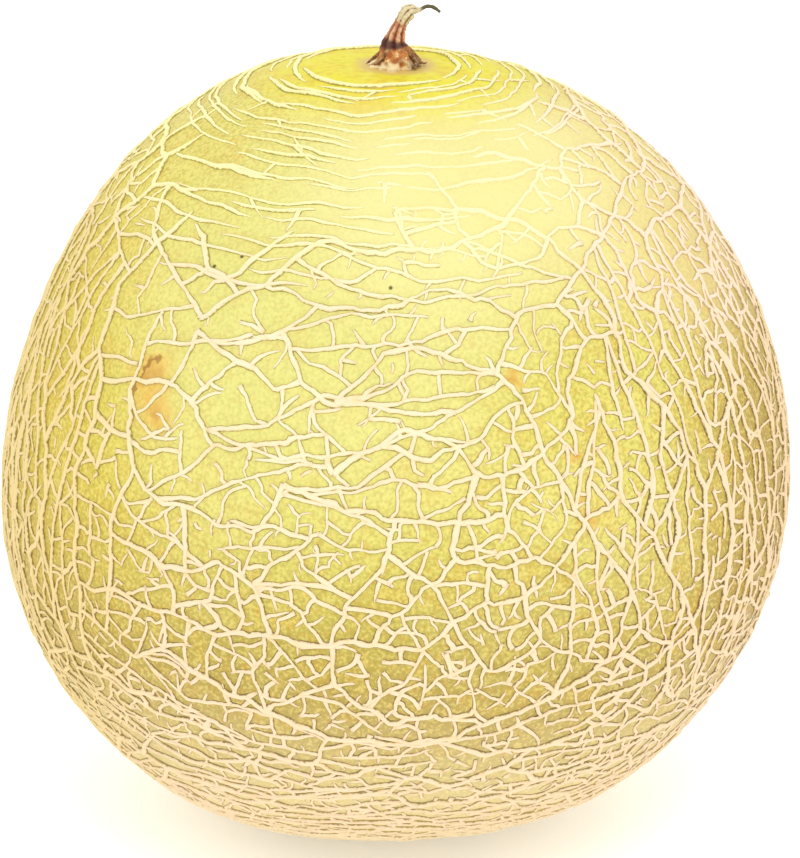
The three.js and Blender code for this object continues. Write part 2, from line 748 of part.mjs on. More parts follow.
function stemGeometry() {
  const surface = new Surface();
  const tint = new THREE.Color(1, 1, 1);
  const path = new THREE.CatmullRomCurve3(STEM_ROUTE.map(([x, y, z]) => new THREE.Vector3(x, y, z)));
  const rings = [];
  for (let ring = 0; ring <= STEM_RINGS; ring++) {
    const along = ring / STEM_RINGS;
    const knot = along * (STEM_ROUTE.length - 1);
    const slot = Math.min(Math.floor(knot), STEM_ROUTE.length - 2);
    const radius = THREE.MathUtils.lerp(STEM_ROUTE[slot][3], STEM_ROUTE[slot + 1][3], knot - slot);
    const middle = path.getPoint(along);
    const ahead = ring === 0 ? new THREE.Vector3(0, 0, 1) : path.getTangent(along);
    const side = new THREE.Vector3(0, 1, 0).addScaledVector(ahead, -ahead.y).normalize();
    const front = new THREE.Vector3().crossVectors(side, ahead);
    const ridge = STEM_RIDGE_SHARE * THREE.MathUtils.smoothstep(radius, 0.5, 1.6);
    const corners = [];
    for (let corner = 0; corner < STEM_SIDES; corner++) {
      const turn = (corner / STEM_SIDES) * 2 * Math.PI;
      const wave = Math.cos(STEM_RIDGES * turn + STEM_TWIST * along);
      const reach = radius * (1 + ridge * wave);
      const point = middle.clone();
      point.addScaledVector(front, reach * Math.cos(turn));
      point.addScaledVector(side, reach * Math.sin(turn));
      corners.push(surface.addPoint(point, tint));
    }
    rings.push(corners);
  }
  rings.slice(1).forEach((corners, ring) => {
    const below = rings[ring];
    corners.forEach((corner, place) => {
      const after = (place + 1) % STEM_SIDES;
      surface.triangles.push([below[place], below[after], corners[after]]);
      surface.triangles.push([below[place], corners[after], corner]);
    });
  });
  const [first, last] = [rings[0], rings.at(-1)];
  for (let place = 1; place < STEM_SIDES - 1; place++) {
    surface.triangles.push([first[0], first[place + 1], first[place]]);
    surface.triangles.push([last[0], last[place], last[place + 1]]);
  }
  return surface.toGeometry();
}

// Waxy rind and matt cork net
function rindMaterial() {
  return new THREE.MeshStandardMaterial({
    color: CORD_COLOUR,
    vertexColors: true,
    roughness: 0.62,
    metalness: 0,
    flatShading: true,
  });
}

// Dry woody stem
function stemMaterial() {
  return new THREE.MeshStandardMaterial({ color: 0x8a5a34, roughness: 0.85, metalness: 0 });
}

function makeFruit() {
  const fruit = new THREE.Mesh(fruitGeometry(makeNet(randomSource(RANDOM_START))), rindMaterial());
  fruit.name = 'fruit';
  return fruit;
}

function makeStem() {
  const stem = new THREE.Mesh(stemGeometry(), stemMaterial());
  stem.name = 'stem';
  stem.position.z = stemSeatHeight() + STEM_GAP;
  return stem;
}

const melon = new THREE.Group();
melon.add(makeFruit(), makeStem());

export default melon;
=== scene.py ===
# A whole netted muskmelon with its dried stem, standing on a pale studio floor.
# Metres, +Z up. The front of the melon faces -Y.
import math

import bpy
import numpy as np
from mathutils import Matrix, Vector


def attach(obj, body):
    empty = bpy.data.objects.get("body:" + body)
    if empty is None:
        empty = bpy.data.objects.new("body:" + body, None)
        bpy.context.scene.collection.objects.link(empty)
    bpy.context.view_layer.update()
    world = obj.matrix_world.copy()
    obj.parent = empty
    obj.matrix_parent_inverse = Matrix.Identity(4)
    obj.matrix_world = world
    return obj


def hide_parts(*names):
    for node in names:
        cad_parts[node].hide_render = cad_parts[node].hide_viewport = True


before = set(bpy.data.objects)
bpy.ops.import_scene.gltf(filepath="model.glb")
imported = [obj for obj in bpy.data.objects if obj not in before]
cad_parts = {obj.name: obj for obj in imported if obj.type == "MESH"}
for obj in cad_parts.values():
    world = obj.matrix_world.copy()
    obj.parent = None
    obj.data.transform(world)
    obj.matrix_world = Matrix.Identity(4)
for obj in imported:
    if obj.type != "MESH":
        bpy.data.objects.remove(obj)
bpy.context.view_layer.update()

# Camera
# The melon is seen from 19 degrees above the level through a long lens a metre away.
# The frame is 800 by 858, so the sensor's 36 mm lie along its height.
MM = 0.001
VIEW_RISE = math.radians(19.0)
VIEW_DISTANCE = 1.0
FRAME_WIDTH_PX = 800
FRAME_HEIGHT_PX = 858
PX_PER_METRE = 4753.0
FRUIT_CENTRE_PX = (396.4, 492.7)
SENSOR = 36.0
CENTRE_HEIGHT = 68.33 * MM
CLIP_START = 0.05

camera_data = bpy.data.cameras.new("camera")
camera_data.sensor_width = SENSOR
camera_data.lens = SENSOR * VIEW_DISTANCE / (FRAME_HEIGHT_PX / PX_PER_METRE)
camera_data.clip_start = CLIP_START
camera = bpy.data.objects.new("camera", camera_data)
bpy.context.scene.collection.objects.link(camera)
towards_camera = Vector((0.0, -math.cos(VIEW_RISE), math.sin(VIEW_RISE)))
camera_up = Vector((0.0, math.sin(VIEW_RISE), math.cos(VIEW_RISE)))
aim = Vector((0.0, 0.0, CENTRE_HEIGHT))
aim += Vector((1.0, 0.0, 0.0)) * ((FRAME_WIDTH_PX / 2 - FRUIT_CENTRE_PX[0]) / PX_PER_METRE)
aim += camera_up * ((FRUIT_CENTRE_PX[1] - FRAME_HEIGHT_PX / 2) / PX_PER_METRE)
camera.location = aim + towards_camera * VIEW_DISTANCE
camera.rotation_euler = (math.pi / 2 - VIEW_RISE, 0.0, 0.0)
bpy.context.scene.camera = camera

# Rind
# The skin of the fruit: a thin waxy yellow skin over the flesh, grown in one piece.
# It bulges very slightly all over, dips at the crown and is flattened where it rests.
WIDEST_RADIUS = 81.9 * MM
CROWN_RISE = 95.8 * MM
BASE_DEPTH = 69.3 * MM
BASE_FULLNESS = 2.136
CROWN_DIP = 2.0 * MM
CROWN_DIP_WIDTH = 15.0 * MM
BASE_LEAN = -3.6 * MM
SWELLS = [(3, 0.0005, 0.0062), (4, -0.0035, 0.0038), (5, -0.0036, 0.0037), (6, 0.0053, 0.0016)]
RIND_RELIEF = 0.12 * MM
RIND_RELIEF_SIZE = 9.0 * MM
RIND_RELIEF_FADE = 6.0 * MM
REST_GAP = 0.15 * MM
RIND_ROWS = 220
RIND_COLUMNS = 320
RIND_SPECK = 0.75 * MM
RIND_FLECK = 1.7 * MM
RIND_CLOUD = 9.0 * MM
RIND_PATCH = 34.0 * MM
RIND_PORE = 0.45 * MM
CROWN_POINT = (0.0, 0.0, 161.5 * MM)
HIGHLIGHT_POINT = (14.0 * MM, -38.0 * MM, 150.0 * MM)
FRONT_LIGHT_POINT = (-16.0 * MM, -62.0 * MM, 126.0 * MM)
PINK_HIGHLIGHT_POINT = (50.0 * MM, -20.0 * MM, 140.0 * MM)
BLEMISHES = [
    (-41.5, 58.8, 7.5), (-39.0, 63.5, 6.0), (19.0, 56.4, 2.6), (26.8, 67.1, 3.0), (28.0, 76.1, 3.2),
    (27.0, 73.0, 2.2), (-150.0, 70.0, 5.0), (118.0, 96.0, 4.0),
]
SCAR_CENTRE = (-34.2, 62.0)
SCAR_MIDDLE = (-42.6, 59.2)
SCAR_RADIUS = 12.8 * MM
SCAR_HALF_LENGTH = 5.2 * MM
SCAR_WIDTH = 0.9 * MM
SPECKS = [
    (-66.8, 45.2), (-30.8, 41.2), (-35.8, 43.2), (-1.0, 43.4), (-68.2, 50.4), (100.0, 60.0), (170.0, 50.0),
]
SPECK_RADIUS = 0.6 * MM
BLEMISH_RAGS = 3.0 * MM
BLEMISH_SHIFT = 7.0 * MM
WAVE_LENGTHS = (0.7, 1.5)
WAVE_GAIN = 0.8
DISTANCE_NODE = ("ShaderNodeVectorMath", {"operation": "DISTANCE"})


def waves(points, size, seed, count=24, kinked=False):
    """Noise near -1 to 1: plane waves of random direction and phase, about a given size long, added up.
    Kinked waves run up and down in straight lines instead of as sines."""
    draw = np.random.default_rng(seed)
    heading = draw.normal(size=(count, 3))
    heading /= np.linalg.norm(heading, axis=1, keepdims=True)
    pitch = 2 * np.pi / (size * draw.uniform(*WAVE_LENGTHS, count))
    phase = draw.uniform(0, 2 * np.pi, count)
    turn = points @ (heading * pitch[:, None]).T + phase
    wave = np.arcsin(np.sin(turn)) * 2 / np.pi if kinked else np.sin(turn)
    return wave.mean(axis=-1) * math.sqrt(count) * WAVE_GAIN


def bare_rind(direction):
    """Point of the rind along a unit direction from the middle of the widest level: an ellipse above it and
    a fuller superellipse below, with gentle swells round the outline, a dip at the crown and a lean of the
    base to one side."""
    rise = direction[..., 2]
    reach = np.hypot(direction[..., 0], direction[..., 1])
    upper = rise >= 0
    power = np.where(upper, 2.0, BASE_FULLNESS)
    extent = np.where(upper, CROWN_RISE, BASE_DEPTH)
    radius = ((reach / WIDEST_RADIUS) ** power + (np.abs(rise) / extent) ** power) ** (-1 / power)
    turn = np.arctan2(rise, direction[..., 0])
    swell = sum(a * np.cos(n * turn) + b * np.sin(n * turn) for n, a, b in SWELLS)
    radius = radius * (1 + (direction[..., 0] ** 2 + rise**2) * swell)
    point = direction * radius[..., None]
    across = np.hypot(point[..., 0], point[..., 1]) / CROWN_DIP_WIDTH
    dip = np.where(upper, CROWN_DIP * np.exp(-(across**2)), 0.0)
    lean = np.where(upper, 0.0, BASE_LEAN * (point[..., 2] / BASE_DEPTH) ** 2)
    return point + np.stack([lean, 0 * lean, CENTRE_HEIGHT - dip], axis=-1)


def rind_surface(direction):
    """The bare rind with its shallow relief, flattened just above the level that the fruit's net rests
    on."""
    point = bare_rind(direction)
    fade = np.clip(point[..., 2] / RIND_RELIEF_FADE, 0, 1)
    relief = RIND_RELIEF * waves(point, RIND_RELIEF_SIZE, seed=5) * fade
    point = point + direction * relief[..., None]
    point[..., 2] = np.maximum(point[..., 2], REST_GAP)
    return point


def direction_at(azimuth, from_crown):
    """Unit direction of an azimuth from the front, to the right, and an angle from the crown, in
    radians."""
    side = np.sin(from_crown)
    return np.stack([side * np.sin(azimuth), -side * np.cos(azimuth), np.cos(from_crown)], axis=-1)


def mesh_piece(name, points, faces):
    """A smooth mesh object at the origin from an array of points and a list of arrays of faces."""
    mesh = bpy.data.meshes.new(name)
    sizes = np.concatenate([np.full(len(part), part.shape[1]) for part in faces])
    corners = np.concatenate([part.ravel() for part in faces]).astype(np.int32)
    mesh.vertices.add(len(points))
    mesh.vertices.foreach_set("co", points.astype(np.float32).ravel())
    mesh.loops.add(len(corners))
    mesh.loops.foreach_set("vertex_index", corners)
    mesh.polygons.add(len(sizes))
    mesh.polygons.foreach_set("loop_start", (np.cumsum(sizes) - sizes).astype(np.int32))
    mesh.polygons.foreach_set("use_smooth", np.full(len(sizes), True))
    mesh.update(calc_edges=True)
    mesh.validate()
    piece = bpy.data.objects.new(name, mesh)
    bpy.context.scene.collection.objects.link(piece)
    return piece


def grid_faces(rows, columns):
    """Quads of a grid that closes on itself across its columns, row after row."""
    row, column = np.meshgrid(np.arange(rows - 1), np.arange(columns), indexing="ij")
    after = (column + 1) % columns
    quads = [row * columns + column, (row + 1) * columns + column]
    quads += [(row + 1) * columns + after, row * columns + after]
    return np.stack(quads, axis=-1).reshape(-1, 4)


def make_rind():
    """A grid of angles from crown to base and round the fruit, closed at both poles by a fan."""
    from_crown = np.linspace(0, np.pi, RIND_ROWS + 2)[1:-1]
    azimuth = np.linspace(0, 2 * np.pi, RIND_COLUMNS, endpoint=False)
    polar, around = np.meshgrid(from_crown, azimuth, indexing="ij")
    body = rind_surface(direction_at(around, polar)).reshape(-1, 3)
    poles = rind_surface(np.array([[0.0, 0.0, 1.0], [0.0, 0.0, -1.0]]))
    points = np.concatenate([body, poles])
    column = np.arange(RIND_COLUMNS)
    after = (column + 1) % RIND_COLUMNS
    last = (RIND_ROWS - 1) * RIND_COLUMNS
    top = np.stack([column, after, np.full(RIND_COLUMNS, len(body))], axis=-1)
    base = np.stack([last + after, last + column, np.full(RIND_COLUMNS, len(body) + 1)], axis=-1)
    return mesh_piece("rind", points, [grid_faces(RIND_ROWS, RIND_COLUMNS), top, base])


def linear(colour):
    """An sRGB hex colour as linear red, green, blue and alpha."""
    parts = [int(colour[place:place + 2], 16) / 255 for place in (1, 3, 5)]
    return [part / 12.92 if part <= 0.04045 else ((part + 0.055) / 1.055) ** 2.4 for part in parts] + [1.0]


def add_node(tree, kind, settings, inputs):
    """Adds a node, sets its settings, and gives each named or numbered input its value or its link."""
    new = tree.nodes.new(kind)
    for name, value in settings.items():
        setattr(new, name, value)
    for name, value in inputs.items():
        socket = new.inputs[name]
        if isinstance(value, bpy.types.NodeSocket):
            tree.links.new(value, socket)
        else:
            socket.default_value = value
    return new


def point_at(azimuth, from_crown):
    """Point of the bare rind at an azimuth and an angle from the crown, in degrees, as three numbers."""
    return bare_rind(direction_at(np.radians(azimuth), np.radians(from_crown))).tolist()


def lay_colours(tree, colour, layers):
    """Colours laid over one another. Each layer is a value, the two limits between which it comes in
    smoothly, its strength and its colour, a hex value or another node's."""
    for value, start, full, strength, shade in layers:
        limits = {"Value": value, "From Min": start, "From Max": full, "To Max": strength}
        factor = add_node(tree, "ShaderNodeMapRange", {"interpolation_type": "SMOOTHSTEP"}, limits)
        parts = {0: factor.outputs[0], 6: colour, 7: linear(shade) if isinstance(shade, str) else shade}
        colour = add_node(tree, "ShaderNodeMix", {"data_type": "RGBA"}, parts).outputs[2]
    return colour


def new_material(name):
    """A material with nodes: itself, its tree, the object's own coordinates in metres, and their three
    axes."""
    material = bpy.data.materials.new(name)
    material.use_nodes = True
    tree = material.node_tree
    place = add_node(tree, "ShaderNodeTexCoord", {}, {}).outputs["Object"]
    return material, tree, place, add_node(tree, "ShaderNodeSeparateXYZ", {}, {"Vector": place}).outputs


def coat(tree, colour, roughness, height, strength, depth):
    """Gives the surface its colour and roughness, and a bump of some strength and depth from a height."""
    bump = add_node(tree, "ShaderNodeBump", {}, {"Strength": strength, "Distance": depth, "Height": height})
    shader = tree.nodes["Principled BSDF"]
    tree.links.new(colour, shader.inputs["Base Color"])
    tree.links.new(bump.outputs["Normal"], shader.inputs["Normal"])
    shader.inputs["Roughness"].default_value = roughness
    return shader


def waxy_rind():
    """Ripe melon skin, thin and waxed by the plant itself, so it has a soft gloss. Its yellow is mottled by
    specks, drawn a little coarser than life to show. It is clear lemon round the stem and darker and golden
    lower down, with a few tan blemishes, a thin brown scar and dark specks. Painted shade makes it golden
    towards both sides and darker on the right; painted light from the floor pales the bottom, and painted
    highlights pale the upper front and the shoulder and tint the right shoulder pink."""
    material, tree, place, axes = new_material("waxy_melon_rind")
    speck, fleck, cloud, patch, pore = [
        add_node(tree, "ShaderNodeTexNoise", {}, {"Vector": place, "Scale": 1 / size}).outputs[0]
        for size in (RIND_SPECK, RIND_FLECK, RIND_CLOUD, RIND_PATCH, RIND_PORE)
    ]
    out = add_node(tree, "ShaderNodeMath", {"operation": "ABSOLUTE"}, {0: axes["X"]}).outputs[0]
    from_highlight, from_stem, from_front_light, from_pink_highlight = [
        add_node(tree, *DISTANCE_NODE, {0: place, 1: point}).outputs[1]
        for point in (HIGHLIGHT_POINT, CROWN_POINT, FRONT_LIGHT_POINT, PINK_HIGHLIGHT_POINT)
    ]
    crown_layers = [
        (cloud, 0.48, 0.68, 0.55, "#d8b41c"),
        (fleck, 0.52, 0.66, 0.5, "#c9ae34"),
        (fleck, 0.46, 0.36, 0.4, "#dcd65a"),
    ]
    crown = lay_colours(tree, linear("#d8cd14"), crown_layers)
    layers = [
        (patch, 0.35, 0.65, 1.0, "#d2c96e"),
        # painted shade: golden towards both sides
        (out, 45 * MM, 80 * MM, 0.7, "#b7953a"),
        (axes["X"], -30 * MM, -58 * MM, 0.45, "#cdb92c"),
        # painted shade: darker still on the right side
        (axes["X"], 50 * MM, 80 * MM, 0.65, "#8f6f22"),
        (axes["Z"], 98 * MM, 42 * MM, 0.82, "#9c7e36"),
        (cloud, 0.5, 0.7, 0.35, "#cba63a"),
        (fleck, 0.52, 0.68, 0.3, "#cf9a3c"),
        (speck, 0.46, 0.7, 0.4, "#978228"),
        (speck, 0.52, 0.34, 0.38, "#e6d97e"),
        # painted light: the upper front paled where the light falls on it
        (from_front_light, 58 * MM, 20 * MM, 0.45, "#d9d88c"),
        # painted highlight: pinkish and pale on the right shoulder
        (from_pink_highlight, 44 * MM, 18 * MM, 0.55, "#dfcb90"),
        # painted highlight: the shoulder paled where the light falls full on it
        (from_highlight, 50 * MM, 14 * MM, 0.78, "#dfd895"),
        (from_stem, 38 * MM, 15 * MM, 0.95, crown),
        (from_stem, 9.5 * MM, 6.5 * MM, 0.7, "#cba56e"),
        # painted light from the floor: paler towards the bottom
        (axes["Z"], 62 * MM, 10 * MM, 0.8, "#e6d6a2"),
    ]
    rags = {"Vector": place, "Scale": 1 / BLEMISH_RAGS, "Detail": 4.0}
    swirl = add_node(tree, "ShaderNodeTexNoise", {}, rags).outputs["Color"]
    push = {0: swirl, 1: [BLEMISH_SHIFT] * 3, 2: place}
    pushed = add_node(tree, "ShaderNodeVectorMath", {"operation": "MULTIPLY_ADD"}, push).outputs[0]
    back = {0: pushed, 1: [-BLEMISH_SHIFT / 2] * 3}
    ragged = add_node(tree, "ShaderNodeVectorMath", {}, back).outputs[0]
    for azimuth, from_crown, radius in BLEMISHES:
        reach = add_node(tree, *DISTANCE_NODE, {0: ragged, 1: point_at(azimuth, from_crown)}).outputs[1]
        layers += [(reach, radius * MM, 0.3 * radius * MM, 0.5, "#d99a3c")]
        layers += [(reach, 0.45 * radius * MM, 0.1 * radius * MM, 0.32, "#a8601f")]
    from_centre, from_middle = [
        add_node(tree, *DISTANCE_NODE, {0: ragged, 1: point_at(*spot)}).outputs[1]
        for spot in (SCAR_CENTRE, SCAR_MIDDLE)
    ]
    off = {0: from_centre, 1: SCAR_RADIUS}
    off = add_node(tree, "ShaderNodeMath", {"operation": "SUBTRACT"}, off).outputs[0]
    off = add_node(tree, "ShaderNodeMath", {"operation": "ABSOLUTE"}, {0: off}).outputs[0]
    past = {0: from_middle, 1: SCAR_HALF_LENGTH}
    past = add_node(tree, "ShaderNodeMath", {"operation": "SUBTRACT", "use_clamp": True}, past).outputs[0]
    from_scar = add_node(tree, "ShaderNodeMath", {"operation": "ADD"}, {0: off, 1: past}).outputs[0]
    layers += [(from_scar, SCAR_WIDTH, 0.2 * SCAR_WIDTH, 0.75, "#8f5c20")]
    for azimuth, from_crown in SPECKS:
        reach = add_node(tree, *DISTANCE_NODE, {0: place, 1: point_at(azimuth, from_crown)}).outputs[1]
        layers += [(reach, SPECK_RADIUS, 0.4 * SPECK_RADIUS, 0.9, "#4c3a1c")]
    shader = coat(tree, lay_colours(tree, linear("#cbc25c"), layers), 0.5, pore, 0.25, 0.12 * MM)
    shader.inputs["IOR"].default_value = 1.42
    shader.inputs["Specular IOR Level"].default_value = 0.35
    return material


rind = make_rind()
rind.data.materials.append(waxy_rind())
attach(rind, "root")
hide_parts("fruit")

# Great cords
# Where the skin cracked as the fruit swelled, it healed with raised ridges of cream cork.
# These are the oldest and widest cracks, grown in one with the rind along the CAD fruit's own ridges.
CREST_MERGE = 0.001 * MM
CREST_LEAST = 0.3 * MM
CREST_LOW_SHARE = 0.15
CREST_PLAIN = 0.78 * MM
CREST_GAIN = 0.715 * MM
COMMON_STRENGTH = 0.3
STRENGTH_PULL = 0.35
SHARPEST_BEND = -0.2
KNOT_SMOOTHING = 0.2
CORD_STEP = 1.1 * MM
CORD_SECTION = [(-1.55, -0.2), (-1.12, 0.1), (-0.82, 0.62), (-0.4, 0.94), (0.0, 1.0)]
CORD_SECTION += [(-across, up) for across, up in CORD_SECTION[-2::-1]]
KNOT_ROUNDNESS = 0.45
SWAYS = [(0.32 * MM, 3.0 * MM), (0.6 * MM, 7.5 * MM), (0.9 * MM, 19.0 * MM)]
SWAY_WAVES = 6
THINNEST_HALF_WIDTH = 0.27 * MM
HALF_WIDTH_GAIN = 0.27 * MM
LOWEST_HEIGHT = 0.28 * MM
HEIGHT_GAIN = 0.42 * MM
LOW_GROUND_SHARE = 0.3
DYING_STEPS = 3.2
FLARE = 0.35
FLARE_STEPS = 1.2
GREAT_STRENGTH = 0.5
NORMAL_STEP = 0.004
FIRST_STEP = 0.3
DYING_POWER = 0.7
CORD_WAVERS = [(0.22, 3.6 * MM), (0.2, 14.0 * MM), (0.14, 5.0 * MM)]
SELF_SCORE = 9.0
CLOSING_SPREAD = 0.5
GRAIN_PATCHES = [
    (46, 24, 68, 44, 1.2), (-72, 24, 70, 36, 1.4), (150, 30, 78, 36, 1.1), (-135, 22, 78, 36, 1.3),
    (-20, 60, 38, 14, -1.6), (165, 70, 38, 14, -1.6), (0, 999, 130, 28, -1.5), (-20, 26, 70, 15, -1.0),
]
FULL_GRAIN = 1.2
GRAIN_GAIN = 0.22
CLOSED_FROM = 0.15
CLOSED_ZONE = (17, 150)
JOINED_MESHES = 5
RINGED_REACH = [(0, 999, 20.0), (-26, 44, 22.0), (165, 60, 16.0)]
NET_SEED = 7
HIGHLIGHT_WEAKENING = 0.35
HIGHLIGHT_REACH = 30.0 * MM
CORK_PATCH = 14.0 * MM
CORK_STREAK = 2.2 * MM
CORK_RAG = 0.7 * MM
CORK_PIT = 0.5 * MM


def unit(vectors):
    """Vectors of length one."""
    return vectors / np.linalg.norm(vectors, axis=-1, keepdims=True)


def hump(value, middle, width):
    """A smooth rise to 1 at the middle that falls away over the width."""
    return np.exp(-(((value - middle) / width) ** 2))


def angles_of(direction):
    """Azimuth from the front and angle from the crown, in degrees."""
    azimuth = np.degrees(np.arctan2(direction[..., 0], -direction[..., 1]))
    return azimuth, np.degrees(np.arccos(np.clip(direction[..., 2], -1, 1)))


def wrapped(turn):
    """Degrees brought to between -180 and 180."""
    return (turn + 180) % 360 - 180


def grain(direction):
    """How tall the net's meshes grow at a place, as a power of two: above 0 on the flanks, where they stand
    upright, and below 0 round the shoulder and under the belly, where they lie across. It is the sum of
    patches, each with an azimuth and an angle from the crown, the reach of both, and an amount."""
    azimuth, polar = angles_of(direction)
    total = 0.0
    for middle, width, level, height, amount in GRAIN_PATCHES:
        total = total + amount * hump(wrapped(azimuth - middle), 0, width) * hump(polar, level, height)
    return total


def grain_push(start, end):
    """How far stretches between pairs of directions run with the grain of the net, from 1 for along it to
    -1 for across it, where the grain is at its strongest."""
    up = unit(start + end)
    east = unit(np.stack([-up[..., 1], up[..., 0], 0 * up[..., 0]], axis=-1) + 1e-9)
    north = np.cross(up, east)
    heading = unit(end - start)
    lean = (heading * north).sum(axis=-1) ** 2 - (heading * east).sum(axis=-1) ** 2
    return np.clip(grain(up) / FULL_GRAIN, -1, 1) * lean


def ringed(direction):
    """How far inside the ringed crown a place lies, in degrees. The ringed part reaches further down on the
    left of the front and at the back."""
    azimuth, polar = angles_of(direction)
    reach = 0.0
    for middle, width, more in RINGED_REACH:
        reach = reach + more * hump(wrapped(azimuth - middle), 0, width)
    return reach - polar


def place_on_rind(points):
    """Direction and height over the bare rind of points near it: the direction moves sideways until the
    rind's point plus the height along the direction gives the point."""
    middle = np.array([0.0, 0.0, CENTRE_HEIGHT])
    direction = unit(points - middle)
    for _ in range(4):
        foot = bare_rind(direction)
        miss = points - foot
        height = (miss * direction).sum(axis=-1, keepdims=True)
        reach = np.linalg.norm(foot - middle, axis=-1, keepdims=True)
        direction = unit(direction + (miss - direction * height) / reach)
    return direction, height[..., 0]


def crest_graph(node):
    """The ridge lines of the CAD fruit: its loose triangles are merged by place, the points that stand over
    the rind and off the rest spot are crests, and each edge from crest to crest is a stretch of ridge."""
    corners = np.empty(len(node.data.vertices) * 3, dtype=np.float32)
    node.data.vertices.foreach_get("co", corners)
    order = np.empty(len(node.data.loops), dtype=np.int32)
    node.data.loops.foreach_get("vertex_index", order)
    places = np.round(corners.reshape(-1, 3) / CREST_MERGE).astype(np.int64)
    places, index = np.unique(places, axis=0, return_inverse=True)
    triangles = index.ravel()[order].reshape(-1, 3)
    direction, height = place_on_rind(places * CREST_MERGE)
    ground = bare_rind(direction)[:, 2]
    crest = (height > np.minimum(CREST_LEAST, CREST_LOW_SHARE * ground)) & (places[:, 2] > 0)
    edges = triangles[:, [0, 1, 1, 2, 2, 0]].reshape(-1, 2)
    edges = np.unique(np.sort(edges[crest[edges].all(axis=1)], axis=1), axis=0)
    used, edges = np.unique(edges, return_inverse=True)
    strength = np.clip((height - CREST_PLAIN) / CREST_GAIN, 0.05, 1.0)
    strength = np.where(height < 0.9 * CREST_PLAIN, COMMON_STRENGTH, strength)
    return direction[used], strength[used], edges.reshape(-1, 2)


def neighbours_of(count, edges):
    """For each corner, the corners that a ridge joins it to."""
    neighbours = [[] for _ in range(count)]
    for first, second in edges.tolist():
        neighbours[first].append(second)
        neighbours[second].append(first)
    return neighbours


def mesh_walks(direction, neighbours):
    """The walk round every mesh of the net, always taking the next stretch to the same side, as a list of
    steps from corner to corner."""
    after = {}
    for corner, ends in enumerate(neighbours):
        up = direction[corner]
        east = unit(np.cross([0.0, 0.0, 1.0], up) + [1e-9, 0.0, 0.0])
        north = np.cross(up, east)
        arms = direction[ends] - up
        order = np.argsort(np.arctan2(arms @ north, arms @ east))
        ring = [ends[place] for place in order]
        for place, end in enumerate(ring):
            after[end, corner] = (corner, ring[place - 1])
    walks = []
    waiting = set(after)
    for start in sorted(after):
        walk = []
        step = start
        while step in waiting:
            waiting.discard(step)
            walk.append(step)
            step = after[step]
        if walk:
            walks.append(walk)
    return walks


def cracked_edges(direction, edges, random):
    """The stretches of ridge that become cords. None do inside the ringed crown. Where the net has a grain,
    stretches that run against it stay closed and join the meshes on their two sides, as long as no more
    than a few meshes join up. The ringed crown, which is the mesh with the longest walk, counts as full
    from the start."""
    edges = edges[(ringed(direction[edges]) < 0).any(axis=1)]
    walks = mesh_walks(direction, neighbours_of(len(direction), edges))
    owner = {step: mesh for mesh, walk in enumerate(walks) for step in walk}
    joined = {mesh: [mesh] for mesh in range(len(walks))}
    joined[max(joined, key=lambda mesh: len(walks[mesh]))] *= JOINED_MESHES
    first, second = direction[edges[:, 0]], direction[edges[:, 1]]
    push = grain_push(first, second)
    polar = angles_of(unit(first + second))[1]
    closable = (push < -CLOSED_FROM) & (polar > CLOSED_ZONE[0]) & (polar < CLOSED_ZONE[1])
    cracked = np.ones(len(edges), dtype=bool)
    for place in np.argsort(push + random.uniform(0, CLOSING_SPREAD, len(edges))):
        start, end = edges[place].tolist()
        one, other = joined[owner[start, end]], joined[owner[end, start]]
        if closable[place] and one is not other and len(one) + len(other) <= JOINED_MESHES:
            cracked[place] = False
            one.extend(other)
            joined.update((mesh, one) for mesh in other)
    return edges[cracked]


def pair_up(direction, strength, neighbours):
    """Which stretch runs on into which at each corner: the straightest and strongest two are paired first.
    A stretch left over ends there against the side of the cord that passes."""
    onward = {}
    for corner, free in enumerate(neighbours):
        free = list(free)
        while len(free) > 1:
            arms = unit(direction[free] - direction[corner])
            weakest = np.minimum.outer(strength[free], strength[free])
            score = arms @ arms.T - STRENGTH_PULL * weakest + SELF_SCORE * np.eye(len(free))
            one, other = np.unravel_index(np.argmin(score), score.shape)
            if arms[one] @ arms[other] > SHARPEST_BEND:
                break
            onward[corner, free[one]] = free[other]
            onward[corner, free[other]] = free[one]
            free = [end for place, end in enumerate(free) if place not in (one, other)]
    return onward


def walk_cords(neighbours, onward):
    """Chains of corners. Each starts where a stretch has nothing to run on into and follows the pairs to
    its other end, and what is left over are rings."""
    waiting = {(corner, end) for corner, ends in enumerate(neighbours) for end in ends}
    starts = sorted(step for step in waiting if step not in onward)
    chains = []
    for start in starts + sorted(waiting):
        if start not in waiting:
            continue
        chain = [start[0]]
        step = start
        while step in waiting:
            waiting.discard(step)
            waiting.discard(step[::-1])
            chain.append(step[1])
            step = (step[1], onward.get(step[::-1]))
        chains.append(chain)
    return chains


def soften(direction, chains):
    """Moves each corner that a cord passes part of the way to the middle of its two neighbours on that
    cord."""
    aim = direction.copy()
    for chain in chains:
        inner = chain[1:-1]
        before = direction[chain[:-2]]
        after = direction[chain[2:]]
        aim[inner] += KNOT_SMOOTHING * ((before + after) / 2 - direction[inner])
    return unit(aim)


def sway(direction, sways, share=1.0):
    """The small sideways wander of a crack: noise fields of several lengths added up, along the surface.
    The share says how much of it each sample takes."""
    points = direction * WIDEST_RADIUS
    push = np.zeros_like(direction)
    for place, (reach, size) in enumerate(sways):
        for axis in range(3):
            wave = waves(points, size, 20 + 3 * place + axis, count=SWAY_WAVES, kinked=True)
            push[:, axis] += reach / WIDEST_RADIUS * wave
    push -= direction * (push * direction).sum(axis=-1, keepdims=True)
    return unit(direction + push * np.reshape(share, (-1, 1)))


